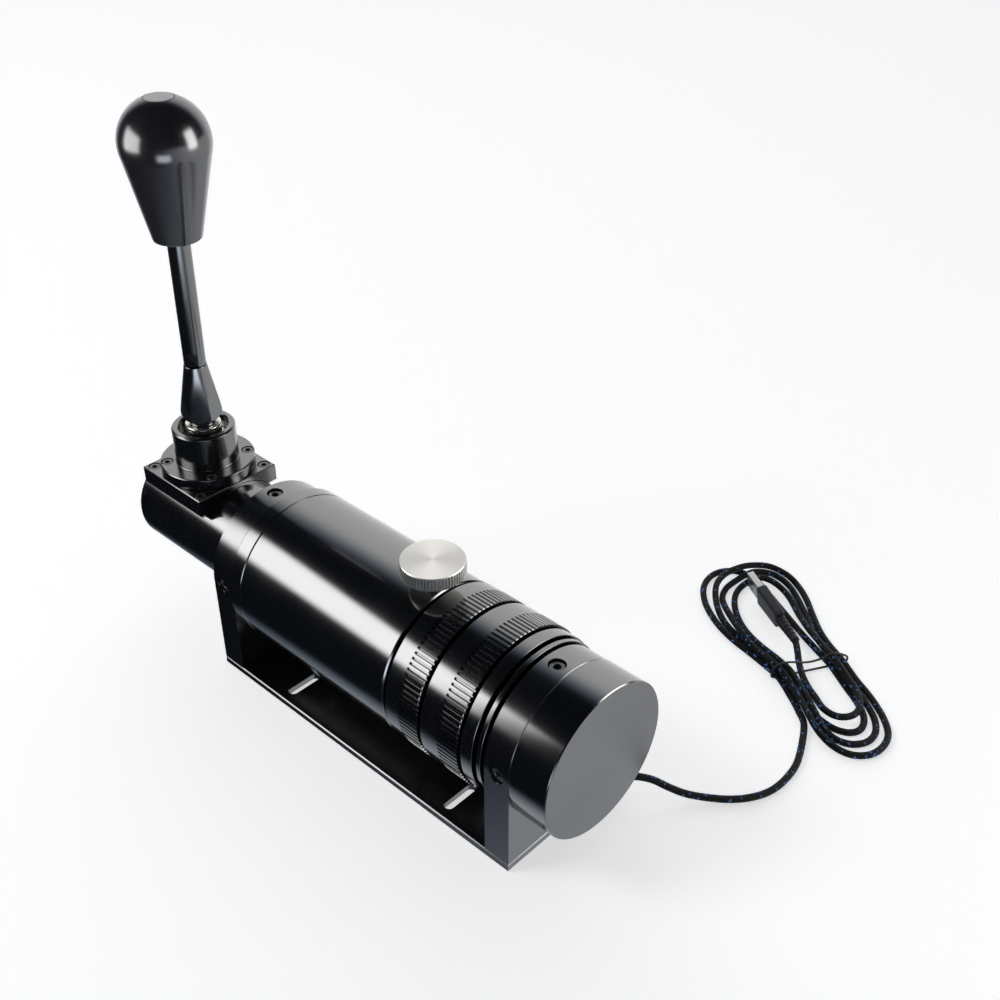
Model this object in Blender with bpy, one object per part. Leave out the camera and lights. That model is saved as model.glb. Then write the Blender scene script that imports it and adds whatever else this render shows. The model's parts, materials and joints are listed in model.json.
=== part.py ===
"""Lever controller: a gear-shift style lever on a tubular two-bracket body, with its braided USB lead.

Lengths are in metres. +X runs along the body towards the flat end cap, the lever stands at -X, +Z is up,
and the origin is on the standing surface under the middle of the body (the lead left out).
"""
import math

import bmesh
import bpy
from mathutils import Matrix, Vector

for old in list(bpy.data.objects):
    bpy.data.objects.remove(old, do_unlink=True)

mm = 0.001

# Driving dimensions
AXIS_Z = 64.8 * mm            # height of the body's axis
GAP = 0.3 * mm                # clearance between touching pieces
BRACKET_R = 44.7 * mm         # round top and half width of both brackets and of the base
BRACKET_T = 17.0 * mm
FRONT_FACE = 155.4 * mm       # outer face of the front bracket
REAR_FACE = -83.8 * mm        # outer face of the rear bracket
BASE_T = 4.8 * mm
CORE_R = 35.0 * mm            # inner tube that carries the sleeve and the rings
CORE_BORE = 30.5 * mm
SLEEVE_R = 47.3 * mm
RING_R = 47.8 * mm
CAP_R = 45.0 * mm
CAP_END = 179.6 * mm
TUBE_R = 32.5 * mm            # rear tube under the lever
TUBE_BORE = 28.5 * mm
TUBE_END = -179.6 * mm
SHAFT_R = 6.0 * mm            # selector shaft inside the body
LEVER_X = -142.1 * mm         # lever turret
PIVOT_Z = 112.0 * mm
LEAN = math.radians(1.2)      # the lever rests leaning slightly forward
BALL_DROP = 25.2 * mm         # pivot down to the lever's lower ball
BALL_Z = PIVOT_Z - BALL_DROP
BLOCK_HALF = 29.0 * mm        # turret block, and radius of the turret flange
BLOCK_TOP = 99.2 * mm
FLANGE_TOP = 106.5 * mm
COLLAR_TOP = 129.5 * mm
COLLAR_R = 19.4 * mm
COLLAR_BORE = 15.2 * mm
TURRET_TURN = math.radians(-30.5)
KNOB_BASE = 252.5 * mm
KNOB_R = 25.4 * mm
KNOB_CENTRE = 307.3 * mm
INSERT_R = 8.1 * mm
THUMB_X = 59.2 * mm
THUMB_R = 18.0 * mm
CORD_R = 2.1 * mm

# Tapped-hole fasteners: head radius, head height, shank radius
M5 = (4.25 * mm, 5.0 * mm, 2.5 * mm)
M4 = (3.5 * mm, 4.0 * mm, 2.0 * mm)


def finish(name, colour, roughness, metallic):
    material = bpy.data.materials.new(name)
    material.use_nodes = True
    shader = material.node_tree.nodes["Principled BSDF"]
    shader.inputs["Base Color"].default_value = (*colour, 1.0)
    shader.inputs["Roughness"].default_value = roughness
    shader.inputs["Metallic"].default_value = metallic
    return material


def add_object(name, bm, at, colour, roughness=0.3, metallic=0.9):
    bmesh.ops.remove_doubles(bm, verts=bm.verts, dist=1e-6)
    bmesh.ops.recalc_face_normals(bm, faces=bm.faces)
    mesh = bpy.data.meshes.new(name)
    bm.to_mesh(mesh)
    bm.free()
    mesh.materials.append(finish(name + "_finish", colour, roughness, metallic))
    obj = bpy.data.objects.new(name, mesh)
    obj.location = at
    bpy.context.collection.objects.link(obj)
    mesh.shade_smooth()
    mesh.set_sharp_from_angle(angle=math.radians(35))
    return obj


BLACK = (0.012, 0.012, 0.014)
STEEL = (0.55, 0.55, 0.55)
SILVER = (0.78, 0.77, 0.74)
BRASS = (0.62, 0.47, 0.2)
FORWARD = Vector((1, 0, 0))
LEFT = Vector((0, -1, 0))
RIGHT = Vector((0, 1, 0))
UP = Vector((0, 0, 1))
ALONG_X = Matrix.Rotation(math.radians(90), 4, "Y")   # turns local +Z to +X


def turned(name, outline, at, colour, along="Z", sides=36, **look):
    """A turned piece. outline holds (radius, station along the axis): a loop, or a line from axis to axis."""
    bm = bmesh.new()
    points = [bm.verts.new((radius, 0.0, station)) for radius, station in outline]
    pairs = list(zip(points, points[1:]))
    if outline[0][0] > 0:
        pairs.append((points[-1], points[0]))
    edges = [bm.edges.new(pair) for pair in pairs]
    bmesh.ops.spin(bm, geom=points + edges, cent=(0, 0, 0), axis=(0, 0, 1), dvec=(0, 0, 0),
                   angle=2 * math.pi, steps=sides, use_merge=True)
    if along == "X":
        bmesh.ops.transform(bm, matrix=ALONG_X, verts=bm.verts)
    return add_object(name, bm, at, colour, **look)


def ring_outline(inner, outer, start, end):
    return [(inner, start), (outer, start), (outer, end), (inner, end)]


def chamfered_outline(inner, outer, start, end, chamfer=0.5 * mm):
    return [(inner, start), (outer - chamfer, start), (outer, start + chamfer),
            (outer, end - chamfer), (outer - chamfer, end), (inner, end)]


def rod_outline(radius, start, end):
    return [(0.0, start), (radius, start), (radius, end), (0.0, end)]


def extruded(name, outline, start, end, at, colour, plane="XY", **look):
    """A flat outline pushed from start to end along its normal. In plane YZ that is along +X."""
    bm = bmesh.new()
    if plane == "YZ":
        points = [bm.verts.new((start, a, b)) for a, b in outline]
        push = (end - start, 0, 0)
    else:
        points = [bm.verts.new((a, b, start)) for a, b in outline]
        push = (0, 0, end - start)
    face = bm.faces.new(points)
    moved = bmesh.ops.extrude_face_region(bm, geom=[face])["geom"]
    bmesh.ops.translate(bm, vec=push, verts=[v for v in moved if isinstance(v, bmesh.types.BMVert)])
    return add_object(name, bm, at, colour, **look)


def block(name, low, high, colour, **look):
    outline = [(low[0], low[1]), (high[0], low[1]), (high[0], high[1]), (low[0], high[1])]
    return extruded(name, outline, low[2], high[2], (0, 0, 0), colour, **look)


def combine(target, tool, operation="DIFFERENCE"):
    """Adds a Boolean with a hidden tool object."""
    tool.hide_render = True
    tool.display_type = "WIRE"
    change = target.modifiers.new(tool.name, "BOOLEAN")
    change.object = tool
    change.operation = operation
    change.solver = "EXACT"


def rod(name, radius, start, end, at, way=UP, sides=12, colour=BLACK, **look):
    """A plain rod. start and end are measured from at, along the vector way."""
    piece = turned(name, rod_outline(radius, start, end), at, colour, sides=sides, **look)
    piece.data.transform(Matrix.Rotation(math.pi / sides, 4, "Z"))   # no corner on a neighbour's corner
    piece.rotation_mode = "QUATERNION"
    piece.rotation_quaternion = UP.rotation_difference(way)
    return piece


def cap_screw(name, size, shank, at, up, sides=10):
    """A socket head cap screw. at is the centre of the head's top, up points out of the head."""
    head_r, head_h, shank_r = size
    socket_r, socket_h = 0.55 * head_r, 0.5 * head_h
    outline = [(0.0, -socket_h), (socket_r, -socket_h), (socket_r, 0.0), (head_r, 0.0), (head_r, -head_h),
               (shank_r, -head_h), (shank_r, -head_h - shank), (0.0, -head_h - shank)]
    screw = turned(name, outline, at, BLACK, sides=sides, roughness=0.35)
    screw.rotation_mode = "QUATERNION"
    screw.rotation_quaternion = UP.rotation_difference(up)
    return screw


# Base plate: flat bar with four crosswise slots for bolting down and four countersunk holes
base = block("base_plate", (REAR_FACE, -BRACKET_R, 0.0), (FRONT_FACE, BRACKET_R, BASE_T), BLACK)
SLOT_R = 2.75 * mm
SLOT_NEAR, SLOT_FAR = 16.5 * mm, 38.5 * mm
SLOT_X = {"rear": -29.0 * mm, "front": 103.5 * mm}


def slot_outline(x, y_low, y_high, radius, steps=8):
    """A slot lying along Y, with round ends."""
    points = []
    for end_y, first in ((y_high - radius, 0.0), (y_low + radius, math.pi)):
        for i in range(steps + 1):
            angle = first + math.pi * i / steps
            points.append((x + radius * math.cos(angle), end_y + radius * math.sin(angle)))
    return points


for place, slot_x in SLOT_X.items():
    for side, sign in (("left", -1), ("right", 1)):
        reach = sorted((sign * SLOT_NEAR, sign * SLOT_FAR))
        tool = extruded(f"cut_slot_{place}_{side}", slot_outline(slot_x, *reach, SLOT_R),
                        -1 * mm, BASE_T + 1 * mm, (0, 0, 0), BLACK)
        combine(base, tool)

# Brackets: upright plates with a round top, bored for the tubes
BRACKET_STEPS = 24
bracket_outline = [(-BRACKET_R, BASE_T + GAP), (BRACKET_R, BASE_T + GAP)]
bracket_outline += [(BRACKET_R * math.cos(math.pi * i / BRACKET_STEPS),
                     AXIS_Z + BRACKET_R * math.sin(math.pi * i / BRACKET_STEPS)) for i in range(BRACKET_STEPS + 1)]
brackets = {
    "rear": extruded("rear_bracket", bracket_outline, REAR_FACE, REAR_FACE + BRACKET_T, (0, 0, 0), BLACK, plane="YZ"),
    "front": extruded("front_bracket", bracket_outline, FRONT_FACE - BRACKET_T, FRONT_FACE, (0, 0, 0), BLACK,
                      plane="YZ"),
}
axis_point = (0, 0, AXIS_Z)
SPIGOT_X = REAR_FACE + 13.4 * mm       # where the rear tube stops and the core tube starts
combine(brackets["rear"], rod("cut_rear_bore", TUBE_R + GAP, REAR_FACE - 1 * mm, SPIGOT_X + 1 * mm,
                              axis_point, FORWARD, 36))
combine(brackets["rear"], rod("cut_rear_spigot", CORE_R + GAP, SPIGOT_X + GAP / 2,
                              REAR_FACE + BRACKET_T + 1 * mm, axis_point, FORWARD, 36))
combine(brackets["front"], rod("cut_front_bore", CORE_R + GAP, FRONT_FACE - BRACKET_T - 1 * mm,
                               FRONT_FACE + 1 * mm, axis_point, FORWARD, 36))

# Body tubes
rear_tube = turned("rear_tube", ring_outline(TUBE_BORE, TUBE_R, TUBE_END + 5.6 * mm, SPIGOT_X),
                   axis_point, BLACK, along="X")
core_tube = turned("core_tube", ring_outline(CORE_BORE, CORE_R, SPIGOT_X + GAP, FRONT_FACE - GAP),
                   axis_point, BLACK, along="X")

# Radial screws that hold the tubes in the brackets: top, left and right of each bracket
HEAD_SINK = 1.5 * mm
SCREW_X = {"rear": REAR_FACE + 8.5 * mm, "front": FRONT_FACE - 8.5 * mm}
WAYS = {"top": UP, "left": LEFT, "right": RIGHT}
for place, bracket in brackets.items():
    tube = rear_tube if place == "rear" else core_tube
    tube_bore = TUBE_BORE if place == "rear" else CORE_BORE
    for side, way in WAYS.items():
        centre = Vector((SCREW_X[place], 0, AXIS_Z))
        seat = BRACKET_R - HEAD_SINK - M5[1]
        shank = seat - tube_bore - 2 * mm
        cap_screw(f"{place}_{side}_screw", M5, shank, centre + way * (BRACKET_R - HEAD_SINK), way)
        combine(bracket, rod(f"cut_{place}_{side}_head", M5[0] + 0.6 * mm, seat - GAP, BRACKET_R + 3 * mm,
                             centre, way))
        hole = rod(f"cut_{place}_{side}_hole", M5[2] + GAP, tube_bore - 3 * mm, seat + 1 * mm, centre, way, 16)
        combine(bracket, hole)
        combine(tube, hole)

# Screws from below that hold the brackets on the base
FOOT_SCREW_Y = 25.0 * mm
for place, bracket in brackets.items():
    for side, sign in (("left", -1), ("right", 1)):
        at = (SCREW_X[place], sign * FOOT_SCREW_Y, 0.0)
        outline = [(0.0, 0.4 * mm), (4.6 * mm, 0.4 * mm), (2.5 * mm, 2.6 * mm), (2.5 * mm, 15 * mm), (0.0, 15 * mm)]
        turned(f"base_screw_{place}_{side}", outline, at, STEEL, sides=12)
        sink = turned(f"cut_sink_{place}_{side}",
                      [(0.0, -1 * mm), (5.2 * mm, -1 * mm), (5.2 * mm, 0.7 * mm), (2.8 * mm, 3.1 * mm),
                       (2.8 * mm, 16 * mm), (0.0, 16 * mm)], at, BLACK, sides=12)
        combine(base, sink)
        combine(bracket, sink)

# Rear collar, main sleeve and the fixed rings between ring groups, all on the core tube
CORE_FIT = CORE_R + GAP
SLEEVE_BORE = 43.8 * mm
turned("rear_collar", [(CORE_FIT, -66.5 * mm), (44.2 * mm, -66.5 * mm), (44.2 * mm, -64.9 * mm),
                       (SLEEVE_R, -64.9 * mm), (SLEEVE_R, -54.8 * mm), (SLEEVE_BORE - GAP, -54.8 * mm),
                       (SLEEVE_BORE - GAP, -46.0 * mm), (CORE_FIT, -46.0 * mm)],
       axis_point, BLACK, along="X", sides=40)
SLEEVE_END = 66.5 * mm
sleeve = turned("main_sleeve", [(SLEEVE_BORE, -54.5 * mm), (SLEEVE_R, -54.5 * mm),
                                (SLEEVE_R, SLEEVE_END - 0.8 * mm), (SLEEVE_R - 0.8 * mm, SLEEVE_END),
                                (CORE_FIT, SLEEVE_END), (CORE_FIT, SLEEVE_END - 15 * mm),
                                (SLEEVE_BORE, SLEEVE_END - 15 * mm)],
                axis_point, BLACK, along="X", sides=40)
turned("tension_ring_rear", chamfered_outline(CORE_FIT, RING_R, 69.1 * mm, 92.8 * mm), axis_point, BLACK, "X", 40)
turned("tension_ring_front", chamfered_outline(CORE_FIT, RING_R, 95.6 * mm, 122.0 * mm), axis_point, BLACK, "X", 40)
turned("guide_ring", chamfered_outline(CORE_FIT, 46.7 * mm, 123.9 * mm, 131.6 * mm), axis_point, BLACK, "X")
turned("retaining_ring", ring_outline(CORE_FIT, 45.7 * mm, 133.9 * mm, 136.6 * mm), axis_point, BLACK, "X")

# End caps
turned("front_end_cap", [(0.0, CAP_END), (CAP_R - 0.6 * mm, CAP_END), (CAP_R, CAP_END - 0.6 * mm),
                         (CAP_R, FRONT_FACE + GAP), (CORE_BORE - GAP, FRONT_FACE + GAP), (CORE_BORE - GAP, 147 * mm),
                         (27 * mm, 147 * mm), (27 * mm, 158.5 * mm), (41 * mm, 158.5 * mm), (41 * mm, 175 * mm),
                         (0.0, 175 * mm)], axis_point, BLACK, "X", 40)
turned("rear_end_cap", [(0.0, TUBE_END), (TUBE_R - 2.6 * mm, TUBE_END), (TUBE_R - 0.8 * mm, TUBE_END + 0.7 * mm),
                        (TUBE_R, TUBE_END + 2.6 * mm), (TUBE_R, TUBE_END + 5.3 * mm),
                        (TUBE_BORE - GAP, TUBE_END + 5.3 * mm), (TUBE_BORE - GAP, TUBE_END + 14 * mm),
                        (TUBE_BORE - 4 * mm, TUBE_END + 14 * mm), (TUBE_BORE - 4 * mm, TUBE_END + 5 * mm),
                        (0.0, TUBE_END + 5 * mm)], axis_point, BLACK, "X")
turned("sensor_board", rod_outline(40.6 * mm, 166 * mm, 167.6 * mm), axis_point, (0.02, 0.12, 0.05), "X", 24,
       roughness=0.5, metallic=0.0)

# Turret block: square block with an inset skirt, saddled on the rear tube
turret_point = (LEVER_X, 0, 0)
SKIRT_HALF = 26.0 * mm
turret_block = block("turret_block", (LEVER_X - BLOCK_HALF, -BLOCK_HALF, 87.6 * mm),
                     (LEVER_X + BLOCK_HALF, BLOCK_HALF, BLOCK_TOP), BLACK)
skirt = block("join_skirt", (LEVER_X - SKIRT_HALF, -SKIRT_HALF, 80.5 * mm),
              (LEVER_X + SKIRT_HALF, SKIRT_HALF, 88.0 * mm), BLACK)
combine(turret_block, skirt, "UNION")
combine(turret_block, rod("cut_saddle", TUBE_R + GAP, -40 * mm, 40 * mm, (LEVER_X, 0, AXIS_Z), FORWARD, 44))
throat = rod("cut_throat", 14.5 * mm, 80 * mm, 110 * mm, turret_point, sides=24)
combine(turret_block, throat)
combine(rear_tube, throat)

# Turret housing: flanged collar that holds the gimbal
housing = turned("turret_housing", [(COLLAR_BORE, BLOCK_TOP + GAP), (BLOCK_HALF, BLOCK_TOP + GAP),
                                    (BLOCK_HALF, FLANGE_TOP - 0.5 * mm), (BLOCK_HALF - 0.5 * mm, FLANGE_TOP),
                                    (COLLAR_R, FLANGE_TOP), (COLLAR_R, COLLAR_TOP - 1 * mm),
                                    (COLLAR_R - 1 * mm, COLLAR_TOP), (COLLAR_BORE, COLLAR_TOP)],
                 turret_point, BLACK)
combine(housing, rod("cut_trunnion_bore", 2.3 * mm, -18.3 * mm, 18.3 * mm, (LEVER_X, 0, PIVOT_Z), FORWARD, 12))
turned("dust_ring", ring_outline(11.5 * mm, COLLAR_BORE - GAP, 117.9 * mm, 120.1 * mm),
       turret_point, STEEL, sides=24)

# Screws of the turret: four through the block's corners, four through the flange
CORNER = 24.0 * mm
CORNER_RADIUS = CORNER * math.sqrt(2)
FLANGE_SCREW_R = 24.8 * mm
HEAD_RECESS = 0.3 * mm
SCREW_SETS = (
    ("block_screw", turret_block, CORNER_RADIUS, math.radians(45), BLOCK_TOP, 85.0 * mm),
    ("flange_screw", housing, FLANGE_SCREW_R, TURRET_TURN, FLANGE_TOP, 96.0 * mm),
)
for label, holder, radius, turn, top, shank_end in SCREW_SETS:
    for i in range(4):
        angle = turn + i * math.pi / 2
        at = Vector((LEVER_X + radius * math.cos(angle), radius * math.sin(angle), 0))
        head_top = top - HEAD_RECESS
        cap_screw(f"{label}_{i + 1}", M4, head_top - M4[1] - shank_end, at + UP * head_top, UP)
        combine(holder, rod(f"cut_{label}_{i + 1}_head", M4[0] + 0.5 * mm, head_top - M4[1] - GAP,
                            top + 2 * mm, at))
        hole = rod(f"cut_{label}_{i + 1}_hole", M4[2] + GAP, shank_end - 1 * mm, top, at, sides=10)
        combine(turret_block, hole)
        if label == "flange_screw":
            combine(housing, hole)
        else:
            combine(rear_tube, hole)

# Gimbal: a ring that rocks side to side on two trunnions along X
gimbal_point = (LEVER_X, 0, PIVOT_Z)
gimbal = turned("gimbal_ring", ring_outline(8.5 * mm, 13.2 * mm, -3.5 * mm, 3.5 * mm),
                gimbal_point, STEEL, sides=24)
for side, sign in (("front", 1), ("rear", -1)):
    reach = sorted((sign * 12 * mm, sign * 17.8 * mm))
    combine(gimbal, rod(f"join_trunnion_{side}", 2.0 * mm, *reach, gimbal_point, FORWARD, 12), "UNION")
combine(gimbal, rod("cut_pin_hole", 2.1 * mm, -15 * mm, 15 * mm, gimbal_point, RIGHT, 12))

# Lever: everything rides on an empty at the pivot, leaning by LEAN
lever_axis = bpy.data.objects.new("lever_axis", None)
lever_axis.location = gimbal_point
lever_axis.rotation_euler = (0, LEAN, 0)
bpy.context.collection.objects.link(lever_axis)


def on_lever(obj):
    """Moves an object from its upright place onto the leaning lever."""
    obj.location = Vector(obj.location) - Vector(gimbal_point)
    obj.parent = lever_axis
    return obj


BALL_R = 4.7 * mm
ball_arc = [(BALL_R * math.sin(math.radians(a)), BALL_Z - BALL_R * math.cos(math.radians(a)))
            for a in (0, 22, 45, 68, 90, 115, 139)]
stem = on_lever(turned("lever_stem", ball_arc + [
    (3.0 * mm, 98 * mm), (4.5 * mm, 101 * mm), (4.5 * mm, 105 * mm), (5.5 * mm, 106 * mm), (5.5 * mm, 118 * mm),
    (4.5 * mm, 119 * mm), (4.5 * mm, 150 * mm), (0.0, 150 * mm)], turret_point, STEEL, sides=14))
combine(stem, on_lever(rod("cut_stem_hole", 2.1 * mm, -8 * mm, 8 * mm, gimbal_point, RIGHT, 12)))
on_lever(rod("cross_pin", 1.8 * mm, -12.6 * mm, 12.6 * mm, gimbal_point, RIGHT, 12, STEEL))
on_lever(turned("lever_spacer", chamfered_outline(4.8 * mm, 10.8 * mm, 124.0 * mm, 131.5 * mm), turret_point, SILVER,
                sides=24, roughness=0.15, metallic=1.0))

# Coupler: hexagon bar turned to a cone above, cupped over the stem and the lever shaft
HEX_R = 12.4 * mm
CONE_TOP = 172.0 * mm
coupler = on_lever(turned("lever_coupler", [
    (0.0, 131.8 * mm), (8.0 * mm, 131.8 * mm), (8.0 * mm, 135.5 * mm), (10.2 * mm, 135.5 * mm),
    (HEX_R, 137.7 * mm), (HEX_R, 140.7 * mm), (6.8 * mm, CONE_TOP), (0.0, CONE_TOP)],
    turret_point, BLACK, sides=24))
hexagon = on_lever(turned("keep_hexagon", rod_outline(HEX_R, 131 * mm, CONE_TOP + 1 * mm), turret_point, BLACK,
                          sides=6))
hexagon.rotation_euler = (0, 0, math.radians(-8.4))
combine(coupler, hexagon, "INTERSECT")
combine(coupler, on_lever(rod("cut_coupler_low", 4.8 * mm, 130 * mm, 150.5 * mm, turret_point)))
combine(coupler, on_lever(rod("cut_coupler_high", 4.0 * mm, 154 * mm, 173 * mm, turret_point)))

SHAFT_TOP = 265.0 * mm
lever_shaft = on_lever(turned("lever_shaft", [
    (0.0, 155 * mm), (3.7 * mm, 155 * mm), (3.7 * mm, CONE_TOP + GAP), (6.6 * mm, CONE_TOP + GAP),
    (6.6 * mm, SHAFT_TOP), (0.0, SHAFT_TOP)], turret_point, BLACK, sides=24))
for side, sign in (("near", -1), ("far", 1)):
    flat = block(f"cut_wrench_flat_{side}", (-8 * mm, min(sign * 5.6 * mm, sign * 9 * mm), CONE_TOP - 1 * mm),
                 (8 * mm, max(sign * 5.6 * mm, sign * 9 * mm), CONE_TOP + 10 * mm), BLACK)
    flat.location = turret_point
    flat.rotation_euler = (0, 0, math.radians(43))
    combine(lever_shaft, on_lever(flat))

# Knob: a ball with a cone tangent to it, bored for the shaft, with a recess for the insert
KNOB_FOOT_R = 14.2 * mm
foot_z = KNOB_BASE + 0.9 * mm
drop = KNOB_CENTRE - foot_z
tangent = math.atan2(KNOB_FOOT_R, drop) - math.asin(KNOB_R / math.hypot(KNOB_FOOT_R, drop))
KNOB_TOP = 331.5 * mm
recess_r = INSERT_R + GAP
last = math.pi / 2 - math.asin(recess_r / KNOB_R)
ARC_STEPS = 8
knob_outline = [(0.0, SHAFT_TOP + 2 * mm), (6.9 * mm, SHAFT_TOP + 2 * mm), (6.9 * mm, KNOB_BASE),
                (KNOB_FOOT_R - 0.9 * mm, KNOB_BASE), (KNOB_FOOT_R, foot_z)]
for i in range(ARC_STEPS + 1):
    up = tangent + (last - tangent) * i / ARC_STEPS
    knob_outline.append((KNOB_R * math.cos(up), KNOB_CENTRE + KNOB_R * math.sin(up)))
knob_outline += [(recess_r, KNOB_TOP - 2 * mm), (0.0, KNOB_TOP - 2 * mm)]
on_lever(turned("lever_knob", knob_outline, turret_point, BLACK, sides=24, roughness=0.12))
on_lever(turned("knob_insert", rod_outline(INSERT_R, KNOB_TOP - 1.7 * mm, KNOB_TOP), turret_point, (0.6, 0.6, 0.6),
                sides=24, roughness=0.4))

# Selector: the lever's lower ball moves this shaft along and about the body's axis
BALL_X = LEVER_X - BALL_DROP * math.sin(LEAN)
RETAINER_X = 126.0 * mm
COLLAR = 8.5 * mm
selector = turned("selector_shaft", [
    (0.0, -152 * mm), (SHAFT_R, -152 * mm), (SHAFT_R, 30 * mm), (14 * mm, 30 * mm), (14 * mm, 33 * mm),
    (SHAFT_R, 33 * mm), (SHAFT_R, RETAINER_X - 1.4 * mm), (COLLAR, RETAINER_X - 1.4 * mm),
    (COLLAR, RETAINER_X - 0.4 * mm), (SHAFT_R, RETAINER_X - 0.4 * mm), (SHAFT_R, RETAINER_X + 8.4 * mm),
    (COLLAR, RETAINER_X + 8.4 * mm), (COLLAR, RETAINER_X + 9.4 * mm), (SHAFT_R, RETAINER_X + 9.4 * mm),
    (SHAFT_R, 139 * mm), (0.0, 139 * mm)], axis_point, STEEL, "X", 14)
yoke = block("selector_yoke", (BALL_X - 8 * mm, -7.5 * mm, AXIS_Z - 11 * mm),
             (BALL_X + 8 * mm, 7.5 * mm, AXIS_Z + 26 * mm), STEEL)
combine(yoke, rod("cut_yoke_bore", SHAFT_R + GAP, -10 * mm, 10 * mm, (BALL_X, 0, AXIS_Z), FORWARD))
combine(yoke, rod("cut_yoke_socket", BALL_R + 0.5 * mm, AXIS_Z + 14.5 * mm, AXIS_Z + 30 * mm, (BALL_X, 0, 0)))
turned("rear_bush", ring_outline(SHAFT_R + GAP, CORE_BORE - GAP, -60 * mm, -50 * mm), axis_point, BRASS, "X", 20)
turned("front_bush", ring_outline(SHAFT_R + GAP, CORE_BORE - GAP, 105 * mm, 115 * mm), axis_point, BRASS, "X", 20)
turned("position_carriage", ring_outline(SHAFT_R + GAP, 20 * mm, RETAINER_X, RETAINER_X + 8 * mm), axis_point,
       (0.7, 0.7, 0.68), "X", 24, metallic=0.0, roughness=0.5)


def coil_spring(name, start, end, radius=10 * mm, wire=1.0 * mm, turns=6, steps=8, sides=5):
    """A round-wire spring about the body's axis."""
    bm = bmesh.new()
    count = turns * steps
    rings = []
    length = end - start - 2 * wire
    for i in range(count + 1):
        angle = 2 * math.pi * i / steps
        centre = Vector((start + wire + length * i / count, radius * math.cos(angle), radius * math.sin(angle)))
        outward = Vector((0, math.cos(angle), math.sin(angle)))
        rings.append([bm.verts.new(centre + wire * (math.cos(a) * outward + math.sin(a) * Vector((1, 0, 0))))
                      for a in (2 * math.pi * k / sides for k in range(sides))])
    for near, far in zip(rings, rings[1:]):
        for k in range(sides):
            bm.faces.new((near[k], near[(k + 1) % sides], far[(k + 1) % sides], far[k]))
    bm.faces.new(rings[0])
    bm.faces.new(rings[-1])
    return add_object(name, bm, axis_point, STEEL)


coil_spring("centring_spring_rear", -50 * mm + GAP, 30 * mm - GAP)
coil_spring("centring_spring_front", 33 * mm + GAP, 105 * mm - GAP)

# Thumb screw with a swivel pad that presses on the core tube
combine(sleeve, rod("cut_thumb_hole", 4.3 * mm, 90 * mm, 118 * mm, (THUMB_X, 0, 0)))
PAD_TOP = AXIS_Z + CORE_R + 3.2 * mm
turned("lock_pad", rod_outline(3.4 * mm, AXIS_Z + CORE_R + GAP, PAD_TOP), (THUMB_X, 0, 0), BRASS, sides=12)
THUMB_UNDER, THUMB_TOP = 121.5 * mm, 129.8 * mm
turned("thumb_screw", [(0.0, PAD_TOP + GAP), (4.0 * mm, PAD_TOP + GAP), (4.0 * mm, THUMB_UNDER),
                       (THUMB_R - 0.4 * mm, THUMB_UNDER), (THUMB_R, THUMB_UNDER + 0.4 * mm),
                       (THUMB_R, THUMB_TOP - 0.6 * mm), (THUMB_R - 0.6 * mm, THUMB_TOP), (0.0, THUMB_TOP)],
       (THUMB_X, 0, 0), SILVER, roughness=0.25, metallic=1.0)

# Lead: gland at the foot of the front bracket's outer face, tube to the hank, hank with its tie, and the plug
GLAND_Y, GLAND_Z = 39.0 * mm, 14.6 * mm
gland_point = (FRONT_FACE, GLAND_Y, GLAND_Z)
combine(brackets["front"], rod("cut_gland_hole", 3.8 * mm, -8 * mm, 1 * mm, gland_point, FORWARD, 12))
turned("cable_gland", [(0.0, -7.5 * mm), (3.5 * mm, -7.5 * mm), (3.5 * mm, GAP), (5.0 * mm, GAP),
                       (5.0 * mm, 4.5 * mm), (3.4 * mm, 7.8 * mm), (0.0, 7.8 * mm)],
       gland_point, BLACK, "X", 16, roughness=0.5, metallic=0.0)

ROUTE = [Vector(point) * mm for point in (
    (164.0, 39.0, 14.6), (167.4, 39.2, 14.8), (171.2, 42.6, 15.0), (177.4, 48.0, 12.9), (185.4, 52.8, 9.0),
    (193.0, 58.2, 5.4), (201.6, 65.4, 3.1), (211.6, 74.0, 2.2), (219.6, 83.6, 2.2), (224.8, 95.6, 2.2),
    (225.6, 110.6, 2.2), (222.4, 126.3, 2.2), (218.2, 138.6, 2.2), (215.6, 144.8, 2.2))]


def smooth_line(points, spacing):
    """Evenly spaced points on a Catmull-Rom curve through the given points."""
    padded = [2 * points[0] - points[1]] + list(points) + [2 * points[-1] - points[-2]]
    fine = []
    for a, b, c, d in zip(padded, padded[1:], padded[2:], padded[3:]):
        for i in range(16):
            t = i / 16
            fine.append(0.5 * (2 * b + (c - a) * t + (2 * a - 5 * b + 4 * c - d) * t * t
                               + (3 * b - a - 3 * c + d) * t ** 3))
    fine.append(points[-1])
    total = sum((q - p).length for p, q in zip(fine, fine[1:]))
    count = round(total / spacing)
    result, walked, k = [fine[0]], 0.0, 1
    for p, q in zip(fine, fine[1:]):
        step = (q - p).length
        while k < count and walked + step >= k * total / count:
            result.append(p.lerp(q, (k * total / count - walked) / step))
            k += 1
        walked += step
    return result + [fine[-1]]


lead = bpy.data.curves.new("usb_lead", "CURVE")
lead.dimensions = "3D"
lead.bevel_depth = CORD_R
lead.bevel_resolution = 2
lead.use_fill_caps = True
path = lead.splines.new("POLY")
lead_points = smooth_line(ROUTE, 5 * mm)
path.points.add(len(lead_points) - 1)
for spot, point in zip(path.points, lead_points):
    spot.co = (*point, 1.0)
lead_object = bpy.data.objects.new("usb_lead", lead)
lead_object.data.materials.append(finish("lead_finish", BLACK, 0.6, 0.0))
bpy.context.collection.objects.link(lead_object)

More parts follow.
